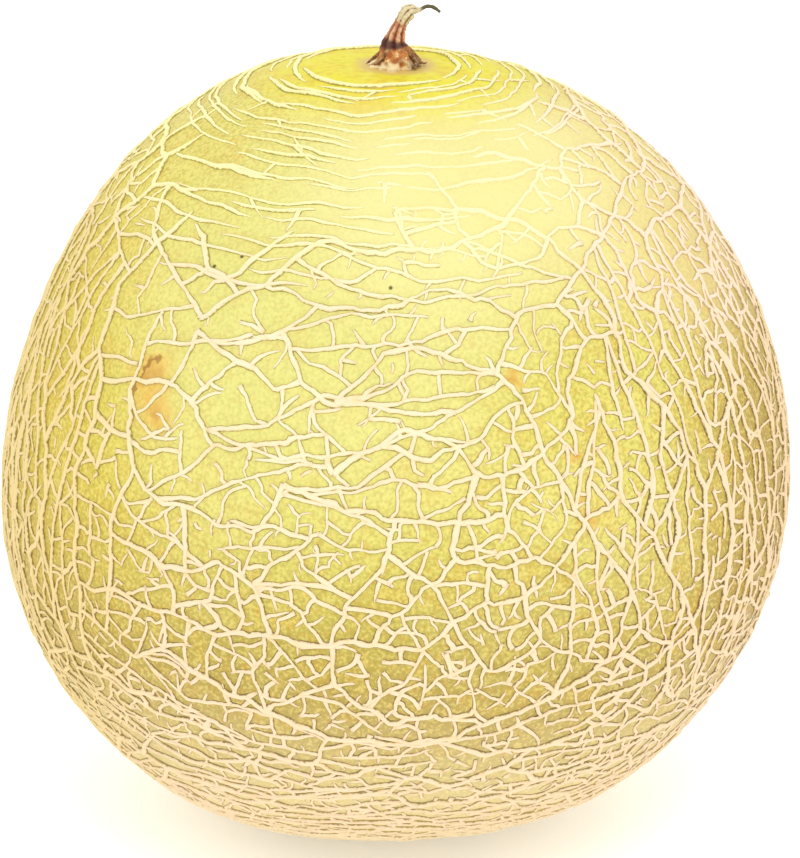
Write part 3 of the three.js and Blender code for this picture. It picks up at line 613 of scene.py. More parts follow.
def knot_slopes(knots, ring):
    """Slope at each knot of a chain: the mean of the slopes on its two sides, each weighted by the other
    side's length. A ring's two ends take theirs from each other."""
    if ring:
        knots = np.concatenate([knots[-2:-1], knots, knots[1:2]])
    gaps = np.diff(knots, axis=0)
    length = np.linalg.norm(gaps, axis=1, keepdims=True)
    slopes = gaps / length
    inner = (slopes[:-1] * length[1:] + slopes[1:] * length[:-1]) / (length[1:] + length[:-1])
    return inner if ring else np.concatenate([slopes[:1], inner, slopes[-1:]])


def weaken_at_highlight(direction, power):
    """Strength of cords, less round the painted highlight on the shoulder, where the net is made faint."""
    away = np.linalg.norm(bare_rind(direction) - np.array(HIGHLIGHT_POINT), axis=-1)
    return np.maximum(power - HIGHLIGHT_WEAKENING * hump(away, 0, HIGHLIGHT_REACH), 0.0)


def great_routes(direction, strength, chains, neighbours):
    """Samples along every chain on the cubic curve through its knots, about one step apart, as a list of
    (directions, strengths, whether each end stands free), and the samples of every stretch on its own.
    Cords that run with the grain are stronger."""
    routes = []
    stretches = {}
    for chain in chains:
        knots = direction[chain]
        slopes = KNOT_ROUNDNESS * knot_slopes(knots, chain[0] == chain[-1])
        push = grain_push(knots[:-1], knots[1:])
        knot_push = (np.append(push, push[-1]) + np.append(push[0], push)) / 2
        knot_power = np.clip(strength[chain] + GRAIN_GAIN * knot_push, 0.0, 1.0)
        pieces = []
        for place in range(len(chain) - 1):
            gap = np.linalg.norm(knots[place + 1] - knots[place])
            count = max(2, int(round(gap * WIDEST_RADIUS / CORD_STEP)))
            t = np.linspace(0.0, 1.0, count + 1)[:, None]
            curve = (2 * t**3 - 3 * t**2 + 1) * knots[place] + (3 * t**2 - 2 * t**3) * knots[place + 1]
            curve += (t**3 - 2 * t**2 + t) * gap * slopes[place] + (t**3 - t**2) * gap * slopes[place + 1]
            power = knot_power[place] * (1 - t[:, 0]) + knot_power[place + 1] * t[:, 0]
            curve = sway(unit(curve), SWAYS)
            stretches[chain[place], chain[place + 1]] = curve
            stretches[chain[place + 1], chain[place]] = curve[::-1]
            pieces.append((curve, weaken_at_highlight(curve, power)))
        line = np.concatenate([piece[0][:-1] for piece in pieces] + [pieces[-1][0][-1:]])
        power = np.concatenate([piece[1][:-1] for piece in pieces] + [pieces[-1][1][-1:]])
        routes.append((line, power, (len(neighbours[chain[0]]) == 1, len(neighbours[chain[-1]]) == 1)))
    return routes, stretches


def rind_normal(direction):
    """Outward normal of the bare rind: the cross product of two short steps across it."""
    east = unit(np.stack([-direction[:, 1], direction[:, 0], 0 * direction[:, 0] + 1e-9], axis=-1))
    north = np.cross(direction, east)
    here = bare_rind(direction)
    beside = bare_rind(unit(direction + NORMAL_STEP * east)) - here
    above = bare_rind(unit(direction + NORMAL_STEP * north)) - here
    return unit(np.cross(beside, above))


def cord_piece(name, routes, seed):
    """Cork cords swept along routes of (directions, strengths, whether each end stands free). At each
    sample a half-round section stands on the rind, its foot a little below it. Width and height grow with
    the strength and waver along the cord. They fade at a free end, and the width flares where the end meets
    another cord."""
    counts = np.array([len(route[0]) for route in routes])
    direction = np.concatenate([route[0] for route in routes])
    power = np.concatenate([route[1] for route in routes])
    starts = np.cumsum(counts) - counts
    ends = np.cumsum(counts) - 1
    free = np.repeat(np.array([route[2] for route in routes]), counts, axis=0)
    past_start = np.arange(len(power)) - np.repeat(starts, counts)
    before_end = np.repeat(ends, counts) - np.arange(len(power))
    fade = np.where(free[:, 0], (past_start + FIRST_STEP) / DYING_STEPS, 1.0)
    fade = np.minimum(fade, np.where(free[:, 1], (before_end + FIRST_STEP) / DYING_STEPS, 1.0))
    fade = np.minimum(fade, 1.0) ** DYING_POWER
    flare = np.where(free[:, 0], 0.0, np.exp(-past_start / FLARE_STEPS))
    flare += np.where(free[:, 1], 0.0, np.exp(-before_end / FLARE_STEPS))
    half_width = (THINNEST_HALF_WIDTH + HALF_WIDTH_GAIN * power) * (0.55 + 0.45 * fade) * (1 + FLARE * flare)
    height = (LOWEST_HEIGHT + HEIGHT_GAIN * power) * fade
    foot = rind_surface(direction)
    normal = rind_normal(direction)
    before = np.arange(len(foot)) - 1
    after = np.arange(len(foot)) + 1
    before[starts] = starts
    after[ends] = ends
    forward = unit(foot[after] - foot[before])
    aside = unit(np.cross(forward, normal))
    waver = [share * waves(foot, size, seed + place) for place, (share, size) in enumerate(CORD_WAVERS)]
    half_width *= 1 + waver[0] + waver[1]
    height *= 1 + waver[2]
    height = np.minimum(height, LOW_GROUND_SHARE * (foot[:, 2] - REST_GAP) + REST_GAP)
    section = np.array(CORD_SECTION)
    left_right = aside[:, None, :] * (section[:, 0] * half_width[:, None])[..., None]
    up = normal[:, None, :] * (section[:, 1] * height[:, None])[..., None]
    points = foot[:, None, :] + left_right + up
    points[..., 2] = np.maximum(points[..., 2], 0.0)
    sides = len(section)
    running = np.ones(len(foot), dtype=bool)
    running[ends] = False
    here = np.flatnonzero(running)[:, None] * sides
    side = np.arange(sides)[None, :]
    next_side = (side + 1) % sides
    quads = np.stack([here + side, here + sides + side, here + sides + next_side, here + next_side], axis=-1)
    caps = [starts[:, None] * sides + side, ends[:, None] * sides + side[:, ::-1]]
    piece = mesh_piece(name, points.reshape(-1, 3), [quads.reshape(-1, 4)] + caps)
    along = np.concatenate([np.arange(count) * CORD_STEP / MM for count in counts])
    place = np.zeros((len(foot), sides, 3), dtype=np.float32)
    place[..., 0] = section[:, 1]
    place[..., 1] = section[:, 0]
    place[..., 2] = along[:, None]
    attribute = piece.data.attributes.new("cord_place", "FLOAT_VECTOR", "POINT")
    attribute.data.foreach_set("vector", place.ravel())
    return piece


def melon_cork():
    """Cork that the plant grew over its cracks: dry and matt, cream with pinkish and straw patches, with
    fine pits. Painted shade darkens it to olive brown along a ragged edge where it meets the skin, more so
    on the sides and lower down. Painted highlights pale it on the shoulder and tint it pink on the right
    shoulder, and painted light from the floor pales it at the very bottom."""
    material, tree, place, axes = new_material("melon_cork")
    from_highlight, from_pink_highlight = [
        add_node(tree, *DISTANCE_NODE, {0: place, 1: point}).outputs[1]
        for point in (HIGHLIGHT_POINT, PINK_HIGHLIGHT_POINT)
    ]
    section = add_node(tree, "ShaderNodeAttribute", {"attribute_name": "cord_place"}, {}).outputs["Vector"]
    rise = add_node(tree, "ShaderNodeSeparateXYZ", {}, {"Vector": section}).outputs["X"]
    patch, straw, rag, pits = [
        add_node(tree, "ShaderNodeTexNoise", {}, {"Vector": place, "Scale": 1 / size}).outputs[0]
        for size in (CORK_PATCH, CORK_STREAK, CORK_RAG, CORK_PIT)
    ]
    rags = {0: rag, 1: 1.2, 2: rise}
    ragged = add_node(tree, "ShaderNodeMath", {"operation": "MULTIPLY_ADD"}, rags).outputs[0]
    # painted shade along the cords' edges: olive brown, darker on the sides and lower down
    painted_edge_shade_layers = [
        (axes["X"], 25 * MM, 55 * MM, 0.85, "#6a5118"),
        (axes["X"], -34 * MM, -64 * MM, 0.6, "#88762c"),
        (axes["Z"], 110 * MM, 60 * MM, 0.75, "#6c521e"),
        (straw, 0.5, 0.64, 0.5, "#c4ad6c"),
        (axes["Z"], 50 * MM, 12 * MM, 0.6, "#b29a5e"),
        # painted highlight: the cords' edges paled and pinkish on the right shoulder
        (from_pink_highlight, 48 * MM, 22 * MM, 0.7, "#cbae76"),
    ]
    foot = lay_colours(tree, linear("#9a9038"), painted_edge_shade_layers)
    layers = [
        (patch, 0.4, 0.65, 1.0, "#e8d3ae"),
        (axes["X"], 10 * MM, 50 * MM, 0.8, "#e6d0ae"),
        (axes["Z"], 115 * MM, 50 * MM, 0.7, "#e5cba8"),
        (straw, 0.5, 0.7, 0.35, "#ddc27c"),
        (axes["X"], -42 * MM, -68 * MM, 0.75, "#dcc480"),
        (axes["X"], 62 * MM, 80 * MM, 0.6, "#dcc093"),
        # painted light from the floor: paler at the very bottom
        (axes["Z"], 20 * MM, 4 * MM, 0.6, "#f0e2ba"),
        (axes["Z"], 128 * MM, 150 * MM, 0.8, "#f0e6a4"),
        # painted highlight: the cork paled and pinkish on the right shoulder
        (from_pink_highlight, 48 * MM, 22 * MM, 0.7, "#edd3bd"),
        # painted shade where the cork meets the skin, along a ragged edge
        (ragged, 1.18, 0.8, 0.95, foot),
        # painted highlight: the cork paled on the shoulder where the light falls full on it
        (from_highlight, 34 * MM, 14 * MM, 0.75, "#efe5b0"),
    ]
    coat(tree, lay_colours(tree, linear("#e9d9b4"), layers), 0.82, pits, 0.5, 0.15 * MM)
    return material


cork = melon_cork()
crest_direction, crest_strength, crest_edges = crest_graph(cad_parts["fruit"])
net_random = np.random.default_rng(NET_SEED)
crest_edges = cracked_edges(crest_direction, crest_edges, net_random)
crest_neighbours = neighbours_of(len(crest_direction), crest_edges)
crest_onward = pair_up(crest_direction, crest_strength, crest_neighbours)
great_chains = walk_cords(crest_neighbours, crest_onward)
crest_direction = soften(crest_direction, great_chains)
great_lines, great_stretches = great_routes(crest_direction, crest_strength, great_chains, crest_neighbours)
strong = [route for route in great_lines if route[1].mean() > GREAT_STRENGTH]
common = [route for route in great_lines if route[1].mean() <= GREAT_STRENGTH]
for name, group in (("net_great", strong), ("net_common", common)):
    cords = cord_piece(name, group, seed=41)
    cords.data.materials.append(cork)
    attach(cords, "root")
    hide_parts("fruit")

# Links
# Thinner and later cracks that divide the meshes between the great cords into strips along the net's grain
# and into cells across it, healed with lower ridges of the same cork. Some die out before they reach the
# far side.
LINK_ZONES = [
    ("net_links_upper", 0.34), ("net_links_waist", -0.25), ("net_links_lower", -0.65),
    ("net_links_base", -2.0),
]
LINK_POWER = (0.14, 0.6)
DEEPER_POWER = 0.92
LINK_SWAYS = [(0.22 * MM, 3.0 * MM), (0.35 * MM, 7.5 * MM)]
LINK_STEP = 1.2
SHORTEST_LINK = 0.8
CROOKED = (0.11, 0.1)
MESH_AREA = 20.0
AREA_PATCHES = [
    (-28, 28, 52, 14, 28.0), (0, 999, 32, 12, 6.0), (0, 999, 116, 34, -8.5), (-75, 22, 80, 35, 3.0),
    (55, 32, 40, 18, -10.0), (14, 24, 68, 18, -5.0),
]
STRIP_GRAIN = 0.35
STRIP_WIDTH = 1.6
STRIP_LEAN = 0.8
CELL_TALLNESS = 0.45
LARGEST_AREA_SPREAD = (1.0, 1.9)
DEEPEST_SPLIT = 7
LONG_CUT_TILT = 0.28
STRIP_TILT = 0.14
SPLIT_TRIES = (1, 2, 4)
DYING_SHARE = 0.38
LOOSE_SHARE = 0.08
BASE_ZONE = 150.0
CUT_OFFSET = 0.16
SHORTENED = (0.45, 0.85)
FAR_OFF = 9


def wanted_area(direction):
    """Area of the meshes at a place in square millimetres: larger in the smooth part of the left shoulder
    and smaller low down. It is a value for the whole fruit plus patches that are laid out as those of the
    grain."""
    azimuth, polar = angles_of(direction)
    area = MESH_AREA
    for middle, width, level, height, more in AREA_PATCHES:
        area += more * hump(wrapped(azimuth - middle), 0, width) * hump(polar, level, height)
    return area


def plane_area(outline):
    """Signed area inside an outline in the plane."""
    after = np.roll(outline, -1, axis=0)
    return 0.5 * (outline[:, 0] * after[:, 1] - outline[:, 1] * after[:, 0]).sum()


def crack_line(start, end, random):
    """Samples one step apart on a crooked line from start to end. The middle of each bit is pushed aside by
    a random share of its length, and so are the middles of the halves."""
    knots = np.array([start, end])
    for share in CROOKED:
        gaps = np.diff(knots, axis=0)
        aside = np.stack([-gaps[:, 1], gaps[:, 0]], axis=-1)
        middles = knots[:-1] + gaps / 2 + random.normal(0, share, (len(gaps), 1)) * aside
        knots = np.insert(knots, np.arange(1, len(knots)), middles, axis=0)
    way = np.concatenate([[0.0], np.cumsum(np.linalg.norm(np.diff(knots, axis=0), axis=1))])
    steps = np.linspace(0, way[-1], max(3, int(round(way[-1] / LINK_STEP)) + 1))
    return np.stack([np.interp(steps, way, knots[:, 0]), np.interp(steps, way, knots[:, 1])], axis=-1)


def cut_outline(outline, along, random):
    """A crack across an outline, square to a direction and near the middle: its line, and the two halves.
    None if it is too short, or if it runs outside the outline, so that the area of one half comes out
    reversed."""
    reach = outline @ along
    level = reach - reach.mean() - np.ptp(reach) * random.uniform(-CUT_OFFSET, CUT_OFFSET)
    crossing = np.flatnonzero((level < 0) != (np.roll(level, -1) < 0))
    if len(crossing) < 2:
        return None
    share = level[crossing] / (level[crossing] - np.roll(level, -1)[crossing])
    ends = outline[crossing] + share[:, None] * (np.roll(outline, -1, axis=0)[crossing] - outline[crossing])
    across = ends @ np.array([-along[1], along[0]])
    spans = np.argsort(across)[:len(across) // 2 * 2].reshape(-1, 2)
    lengths = np.ptp(across[spans], axis=1)
    one, other = np.sort(spans[np.argmax(lengths)])
    if lengths.max() < SHORTEST_LINK:
        return None
    line = crack_line(ends[one], ends[other], random)
    first = np.concatenate([outline[crossing[one] + 1: crossing[other] + 1], line[::-1]])
    second = np.concatenate([outline[crossing[other] + 1:], outline[: crossing[one] + 1], line])
    return (line, first, second) if plane_area(first) * plane_area(second) > 0 else None


def shown_part(line, random):
    """The part of a crack that healed with cork, and whether each end stands free. Some die out on the way,
    and a few touch no cord at either end."""
    chance = random.random()
    if chance < DYING_SHARE:
        kept = max(3, int(len(line) * random.uniform(*SHORTENED)))
        return (line[:kept], (False, True)) if chance < DYING_SHARE / 2 else (line[-kept:], (True, False))
    if chance < DYING_SHARE + LOOSE_SHARE and len(line) > 6:
        return line[2:-2], (True, True)
    return line, (False, False)


def split_mesh(outline, area, tall, depth, random, cracks):
    """Divides an outline by a crack, and both halves in turn, until each is near the wanted area. Where the
    net has a grain, it is cut into strips along it first. Otherwise the crack runs across the longer side.
    Keeps the line of each crack that shows, its rank, and whether each end stands free."""
    if abs(plane_area(outline)) < area * random.uniform(*LARGEST_AREA_SPREAD) or depth > DEEPEST_SPLIT:
        return
    spread = outline - outline.mean(axis=0)
    along = np.linalg.eigh(spread.T @ spread)[1][:, 1]
    tilt = LONG_CUT_TILT
    strip = np.array([0.0, 1.0] if tall > 0 else [1.0, 0.0])
    wide = abs(plane_area(outline)) > np.ptp(outline @ strip) * STRIP_WIDTH * math.sqrt(area)
    if wide and abs(tall) > STRIP_GRAIN:
        run = along if abs(along @ strip) > STRIP_LEAN else strip
        along = np.array([-run[1], run[0]])
        tilt = STRIP_TILT
    for widening in SPLIT_TRIES:
        turn = widening * random.normal(0, tilt)
        turned = np.array([[math.cos(turn), -math.sin(turn)], [math.sin(turn), math.cos(turn)]]) @ along
        cut = cut_outline(outline, turned, random)
        if cut:
            break
    else:
        return
    line, first, second = cut
    shown, free = shown_part(line, random)
    cracks.append((shown, depth, free))
    split_mesh(first, area, tall, depth + 1, random, cracks)
    split_mesh(second, area, tall, depth + 1, random, cracks)


def crack_base_mesh(outline, up, random):
    """The cracks of a mesh near the base. It is laid flat on the plane that touches the fruit at its
    middle."""
    east = unit(np.cross([0.0, 1.0, 0.0], up))
    north = np.cross(up, east)
    flat = np.stack([outline @ east, outline @ north], axis=-1) / (outline @ up)[:, None]
    found = []
    split_mesh(flat * WIDEST_RADIUS / MM, wanted_area(up), 0.0, 0, random, found)
    for place, (line, depth, free) in enumerate(found):
        line = line * MM / WIDEST_RADIUS
        found[place] = (unit(up + line[:, :1] * east + line[:, 1:] * north), depth, free)
    return found


def crack_meshes(outlines, random):
    """The cracks of all meshes but the one round the crown, whose outline turns once round the fruit. Each
    mesh is laid flat by its angles round and down the fruit, stretched so that the meshes wanted there come
    out as wide as tall, divided, and its cracks are put back on the rind."""
    degree = math.radians(1) * WIDEST_RADIUS / MM
    cracks = []
    for outline in outlines:
        up = unit(outline.mean(axis=0))
        middle, level = angles_of(up)
        azimuth, polar = angles_of(outline)
        if polar.max() > BASE_ZONE:
            cracks += crack_base_mesh(outline, up, random)
            continue
        turns = wrapped(np.diff(azimuth, append=azimuth[0]))
        if abs(turns.sum()) > 180:
            continue
        tall = float(grain(up))
        pull = 2 ** (CELL_TALLNESS * tall / 2)
        scale = np.array([degree * math.sin(math.radians(level)) * pull, -degree / pull])
        flat = np.stack([wrapped(azimuth - middle), polar - level], axis=-1) * scale
        found = []
        split_mesh(flat, wanted_area(up), tall, 0, random, found)
        for line, depth, free in found:
            line = np.radians(line / scale + [middle, level])
            cracks.append((direction_at(line[:, 0], line[:, 1]), depth, free))
    return cracks


def link_route(line, depth, free, random):
    """A crack as a cord's route, wavering more in the middle than near the cords that it joins. Deeper ones
    are weaker."""
    place = np.arange(len(line))
    near = np.where(free[0], FAR_OFF, place) + 0.0
    near = np.minimum(near, np.where(free[1], FAR_OFF, len(line) - 1 - place))
    power = random.uniform(*LINK_POWER) * DEEPER_POWER**depth
    power = max(power + GRAIN_GAIN * float(grain_push(line[0], line[-1])), 0.0)
    power = weaken_at_highlight(line, np.full(len(line), power))
    return sway(line, LINK_SWAYS, np.minimum(near / 2, 1.0)), power, free


net_walks = mesh_walks(crest_direction, crest_neighbours)
net_meshes = [np.concatenate([great_stretches[step][:-1] for step in walk]) for walk in net_walks]
cracks = crack_meshes(net_meshes, net_random)
links = [link_route(line, depth, free, net_random) for line, depth, free in cracks]
link_heights = np.array([link[0][:, 2].mean() for link in links])
for (name, low), high in zip(LINK_ZONES, [2.0] + [low for name, low in LINK_ZONES]):
    group = [links[place] for place in np.flatnonzero((link_heights > low) & (link_heights <= high))]
    cords = cord_piece(name, group, seed=51)
    cords.data.materials.append(cork)
    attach(cords, "root")
    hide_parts("fruit")

# Crown rings
# Round the stem the skin cracked in rings as the shoulder filled out: one nearly closed ring near the foot,
# and long shallow arcs one below another on the shoulder, healed with thin low cork and tied together here
# and there.
RING_CENTRE = -3.2
RING_STEP = 1.62
RING_FIRST = 9.7
RING_ROWS = 22
ARC_LENGTH = (15.0, 42.0)
ARC_GAP = (1.5, 7.0)
ARC_SHIFT = 0.55
ARC_SLOPE = 0.9
ARC_POWER = (0.08, 0.85)
ARC_SWAYS = [(0.16 * MM, 3.0 * MM), (0.4 * MM, 8.0 * MM), (0.8 * MM, 20.0 * MM)]
TIE_CHANCE = 0.45
TIE_REACH = (0.9, 2.0)
RINGED_OVERLAP = 3.0


def ring_place(turn, polar):
    """Direction of an azimuth and an angle from the crown in degrees, on rings whose common centre lies a
    little to the left of the stem near it and moves back to the axis further out."""
    direction = direction_at(np.radians(turn), np.radians(polar))
    shift = RING_CENTRE * MM / WIDEST_RADIUS * hump(polar, 0, 26.0)
    return unit(direction + np.stack([shift, 0 * shift, 0 * shift], axis=-1))


def ring_routes(random):
    """Arcs in rows round the stem, each row one step further out. Along a row come arcs of random length
    with gaps between them, as far as they lie in the ringed crown, and some send a short cord outwards to
    the next."""
    routes = []
    for row in range(RING_ROWS):
        polar = RING_FIRST + RING_STEP * row
        degree = math.radians(1) * math.sin(math.radians(polar)) * WIDEST_RADIUS / MM
        turn = random.uniform(0, 60)
        last = turn + 360 - (4 if row == 0 else 0)
        while turn < last:
            span = (random.uniform(*ARC_LENGTH) * (2.2 if row == 0 else 1.0)) / degree
            end = min(turn + span, last)
            t = np.linspace(0, 1, max(4, int((end - turn) * degree / LINK_STEP)))
            level = polar + ARC_SHIFT * random.normal(0, 0.9 if row else 0.1)
            level = level + ARC_SLOPE * random.normal(0, 0.7) * (t - 0.5)
            line = ring_place(turn + (end - turn) * t, level)
            power = random.uniform(*ARC_POWER) * (1 - np.abs(2 * t - 1) ** 3) + (0.25 if row == 0 else 0.0)
            inside = ringed(line[len(line) // 2]) > -RINGED_OVERLAP
            if inside:
                routes.append((sway(line, ARC_SWAYS), weaken_at_highlight(line, power), (True, True)))
            if inside and row and random.random() < TIE_CHANCE:
                way = np.linspace(0, 1, 5)
                root = random.integers(1, len(t) - 1)
                tie_turn = turn + (end - turn) * t[root] + way * random.normal(0, 2.5) / degree
                tie = ring_place(tie_turn, level[root] + RING_STEP * random.uniform(*TIE_REACH) * way)
                routes.append((sway(tie, ARC_SWAYS), np.full(5, 0.15), (False, True)))
            turn = end + random.uniform(*ARC_GAP) / degree
    return routes


crown_rings = cord_piece("net_rings", ring_routes(net_random), seed=57)
crown_rings.data.materials.append(cork)
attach(crown_rings, "root")
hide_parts("fruit")

# Side cracks
# Short fine cracks that leave a cord to one side and die out in the skin after a few millimetres, healed
# with the thinnest ridges of cork.
SIDE_CRACKS = 480
SIDE_CRACK_SAMPLES = 6
SIDE_CRACK_LENGTH = (2.0, 5.5)
SIDE_CRACK_ANGLE = (40.0, 95.0)
SIDE_CRACK_POWER = (0.1, 0.4)
SIDE_CRACK_BEND = 0.5
SIDE_CRACK_ZONE = (21.0, 158.0)


def side_cracks(routes, count, random):
    """Short routes that start on random samples of other routes. Each heads away at an angle to a random
    side and bends as it goes: start + heading * way + aside * bend * way squared, on the sphere of
    directions."""
    samples = np.concatenate([line[:-1] for line, power, free in routes])
    steps = np.concatenate([np.diff(line, axis=0) for line, power, free in routes])
    chosen = random.choice(len(samples), count, replace=False)
    polar = angles_of(samples[chosen])[1]
    chosen = chosen[(polar > SIDE_CRACK_ZONE[0]) & (polar < SIDE_CRACK_ZONE[1])]
    count = len(chosen)
    start = samples[chosen]
    forward = unit(steps[chosen])
    aside = np.cross(start, forward) * random.choice([-1.0, 1.0], count)[:, None]
    angle = np.radians(random.uniform(*SIDE_CRACK_ANGLE, count))[:, None]
    heading = forward * np.cos(angle) + aside * np.sin(angle)
    bend = np.cross(start, heading) * random.normal(0, SIDE_CRACK_BEND, count)[:, None]
    length = random.uniform(*SIDE_CRACK_LENGTH, count)[:, None] * MM / WIDEST_RADIUS
    t = np.linspace(0, 1, SIDE_CRACK_SAMPLES)[None, :, None]
    way = length[:, None] * t
    lines = unit(start[:, None] + heading[:, None] * way + bend[:, None] * way * t)
    power = random.uniform(*SIDE_CRACK_POWER, count)
    return [(line, np.full(SIDE_CRACK_SAMPLES, each), (False, True)) for line, each in zip(lines, power)]


net_fine = cord_piece("net_fine", side_cracks(great_lines + links, SIDE_CRACKS, net_random), seed=61)
net_fine.data.materials.append(cork)
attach(net_fine, "root")
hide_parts("fruit")

# Stem
# The dried stalk that the fruit hung from, grown in one with it: a foot that spreads into claws on the
# crown, a ridged woody neck that leans over, a withered knob where it was cut, and the thin dark tail of a
# tendril.
STEM_BASE = (0.0, 0.0, 161.36 * MM)
STEM_SUNK = 0.8
STEM_ROUTE = [
    (0.0, 0.0, 0.0, 3.9), (0.0, 0.0, 0.6, 3.75), (-0.1, 0.0, 1.7, 3.35), (-0.3, 0.0, 2.9, 2.9),
    (-0.4, 0.0, 4.2, 2.35), (-0.1, 0.0, 5.6, 1.85), (0.35, -0.1, 7.0, 1.5), (0.95, -0.1, 8.4, 1.3),
    (1.6, -0.1, 9.6, 1.4), (2.4, 0.0, 10.6, 1.5), (3.3, 0.0, 11.2, 1.2), (4.2, 0.1, 11.2, 0.7),
    (5.0, 0.2, 11.3, 0.42), (5.9, 0.3, 11.8, 0.38), (6.8, 0.4, 11.9, 0.38), (7.9, 0.4, 11.5, 0.38),
    (8.9, 0.5, 10.7, 0.3),
]
STEM_SAMPLES = 200
STEM_SIDES = 144
STEM_RIDGES = 7
STEM_RIDGE_SHARE = 0.15
STEM_TWIST = 1.1
STEM_WRINKLE = 0.13
STEM_WRINKLE_SIZE = 1.1 * MM
STEM_COLLAR = 5.2
STEM_FIBRE = 0.35 * MM
STEM_PATCH = 1.6 * MM
CLAW_RISE = 3.3
CLAWS = [
    (-176, 2.1, 11), (-155, 2.4, 9), (-131, 1.7, 13), (-106, 2.0, 10), (-84, 1.2, 12), (-62, 1.8, 9),
    (-42, 1.1, 8), (-20, 1.4, 7), (6, 1.2, 7), (30, 1.6, 8), (58, 1.3, 9), (84, 1.8, 10), (112, 1.5, 9),
    (139, 2.0, 11), (163, 1.4, 8),
]


def curve_through(knots, count):
    """Evenly spaced samples on the cubic curve through the knots, whose last column may be a radius."""
    slopes = knot_slopes(knots, False)
    gaps = np.linalg.norm(np.diff(knots[:, :3], axis=0), axis=1)
    ends = np.concatenate([[0.0], np.cumsum(gaps)])
    way = np.linspace(0, ends[-1], count)
    place = np.clip(np.searchsorted(ends, way, side="right") - 1, 0, len(gaps) - 1)
    gap = gaps[place][:, None]
    t = (way - ends[place])[:, None] / gap
    curve = (2 * t**3 - 3 * t**2 + 1) * knots[place] + (3 * t**2 - 2 * t**3) * knots[place + 1]
    return curve + (t**3 - 2 * t**2 + t) * gap * slopes[place] + (t**3 - t**2) * gap * slopes[place + 1]


def tube_points(middles, radii):
    """Rings round a path. Each ring is turned square to the path, and radii gives its reach at every
    turn."""
    heading = unit(np.gradient(middles, axis=0))
    level = np.array([0.0, 1.0, 0.0])
    side = unit(level - heading * (heading @ level)[:, None])
    front = np.cross(side, heading)
    turn = np.linspace(0, 2 * np.pi, radii.shape[1], endpoint=False)
    across = front[:, None] * np.cos(turn)[None, :, None] + side[:, None] * np.sin(turn)[None, :, None]
    return middles[:, None] + across * radii[..., None]


def tube_faces(rings, sides, first=0):
    """Quads between the rings of a tube, facing out, and a cap at each end."""
    start = first + np.arange(sides)
    quads = first + grid_faces(rings, sides)[:, ::-1]
    return [quads, start[None, ::-1], start[None, :] + (rings - 1) * sides]


def claw_reach(turn, rise):
    """How far the claws of the foot stand out in millimetres: a sum of humps round the stem, each as steep
    as its own width, that grow from nothing at the top of the foot to full reach at the skin and wander as
    they go."""
    low = np.clip(1 - rise / CLAW_RISE, 0, 1)
    reach = 0.0
    for middle, length, width in CLAWS:
        wander = 5 * np.sin(2.1 * rise + middle)
        away = wrapped(np.degrees(turn) - middle - wander)
        reach = reach + length * low**1.5 * np.exp(-np.abs(away / width) ** 1.6)
    return reach


def stem_body():
    """The foot, neck, knob and tail in one sweep. Ridges with rounded tops and sharp valleys turn slowly
    round the neck, claws stand out at the foot, and it is wrinkled all over. The tail is too thin for
    ridges."""
    knots = np.array(STEM_ROUTE) * MM
    knots[0, 2] -= STEM_SUNK * MM
    curve = curve_through(knots, STEM_SAMPLES)
    middles = curve[:, :3] + STEM_BASE
    along = np.concatenate([[0.0], np.cumsum(np.linalg.norm(np.diff(middles, axis=0), axis=1))])
    turn = np.linspace(0, 2 * np.pi, STEM_SIDES, endpoint=False)
    swirl = STEM_RIDGES * (turn[None] + STEM_TWIST * along[:, None] / along[-1]) / 2
    ridge = 2 * np.abs(np.cos(swirl)) ** 1.3 - 1
    radius = curve[:, 3][:, None]
    thick = np.clip((radius / MM - 0.5) / 1.1, 0, 1)
    rise = np.maximum(curve[:, 2][:, None] / MM, 0)
    claw = claw_reach(turn[None], rise)
    neck = np.clip(rise / CLAW_RISE, 0, 1)
    round_points = tube_points(middles, np.repeat(radius, STEM_SIDES, axis=1) + claw * MM)
    wrinkle = waves(round_points, STEM_WRINKLE_SIZE, seed=71)
    wrinkle = wrinkle + 0.6 * waves(round_points, STEM_WRINKLE_SIZE / 2, seed=72)
    radii = radius * (1 + STEM_RIDGE_SHARE * thick * neck * ridge) + claw * MM
    radii = radii + STEM_WRINKLE * MM * (0.3 + 0.7 * thick) * wrinkle
    points = tube_points(middles, radii)
    piece = mesh_piece("stem_neck", points.reshape(-1, 3), tube_faces(STEM_SAMPLES, STEM_SIDES))
    place = np.zeros((STEM_SAMPLES, STEM_SIDES, 3), dtype=np.float32)
    place[..., 0] = along[:, None] / MM
    place[..., 1] = ridge * thick * neck + 0.35 * wrinkle
    place[..., 2] = claw / 1.2
    piece.data.attributes.new("stem_place", "FLOAT_VECTOR", "POINT").data.foreach_set("vector", place.ravel())
    return piece


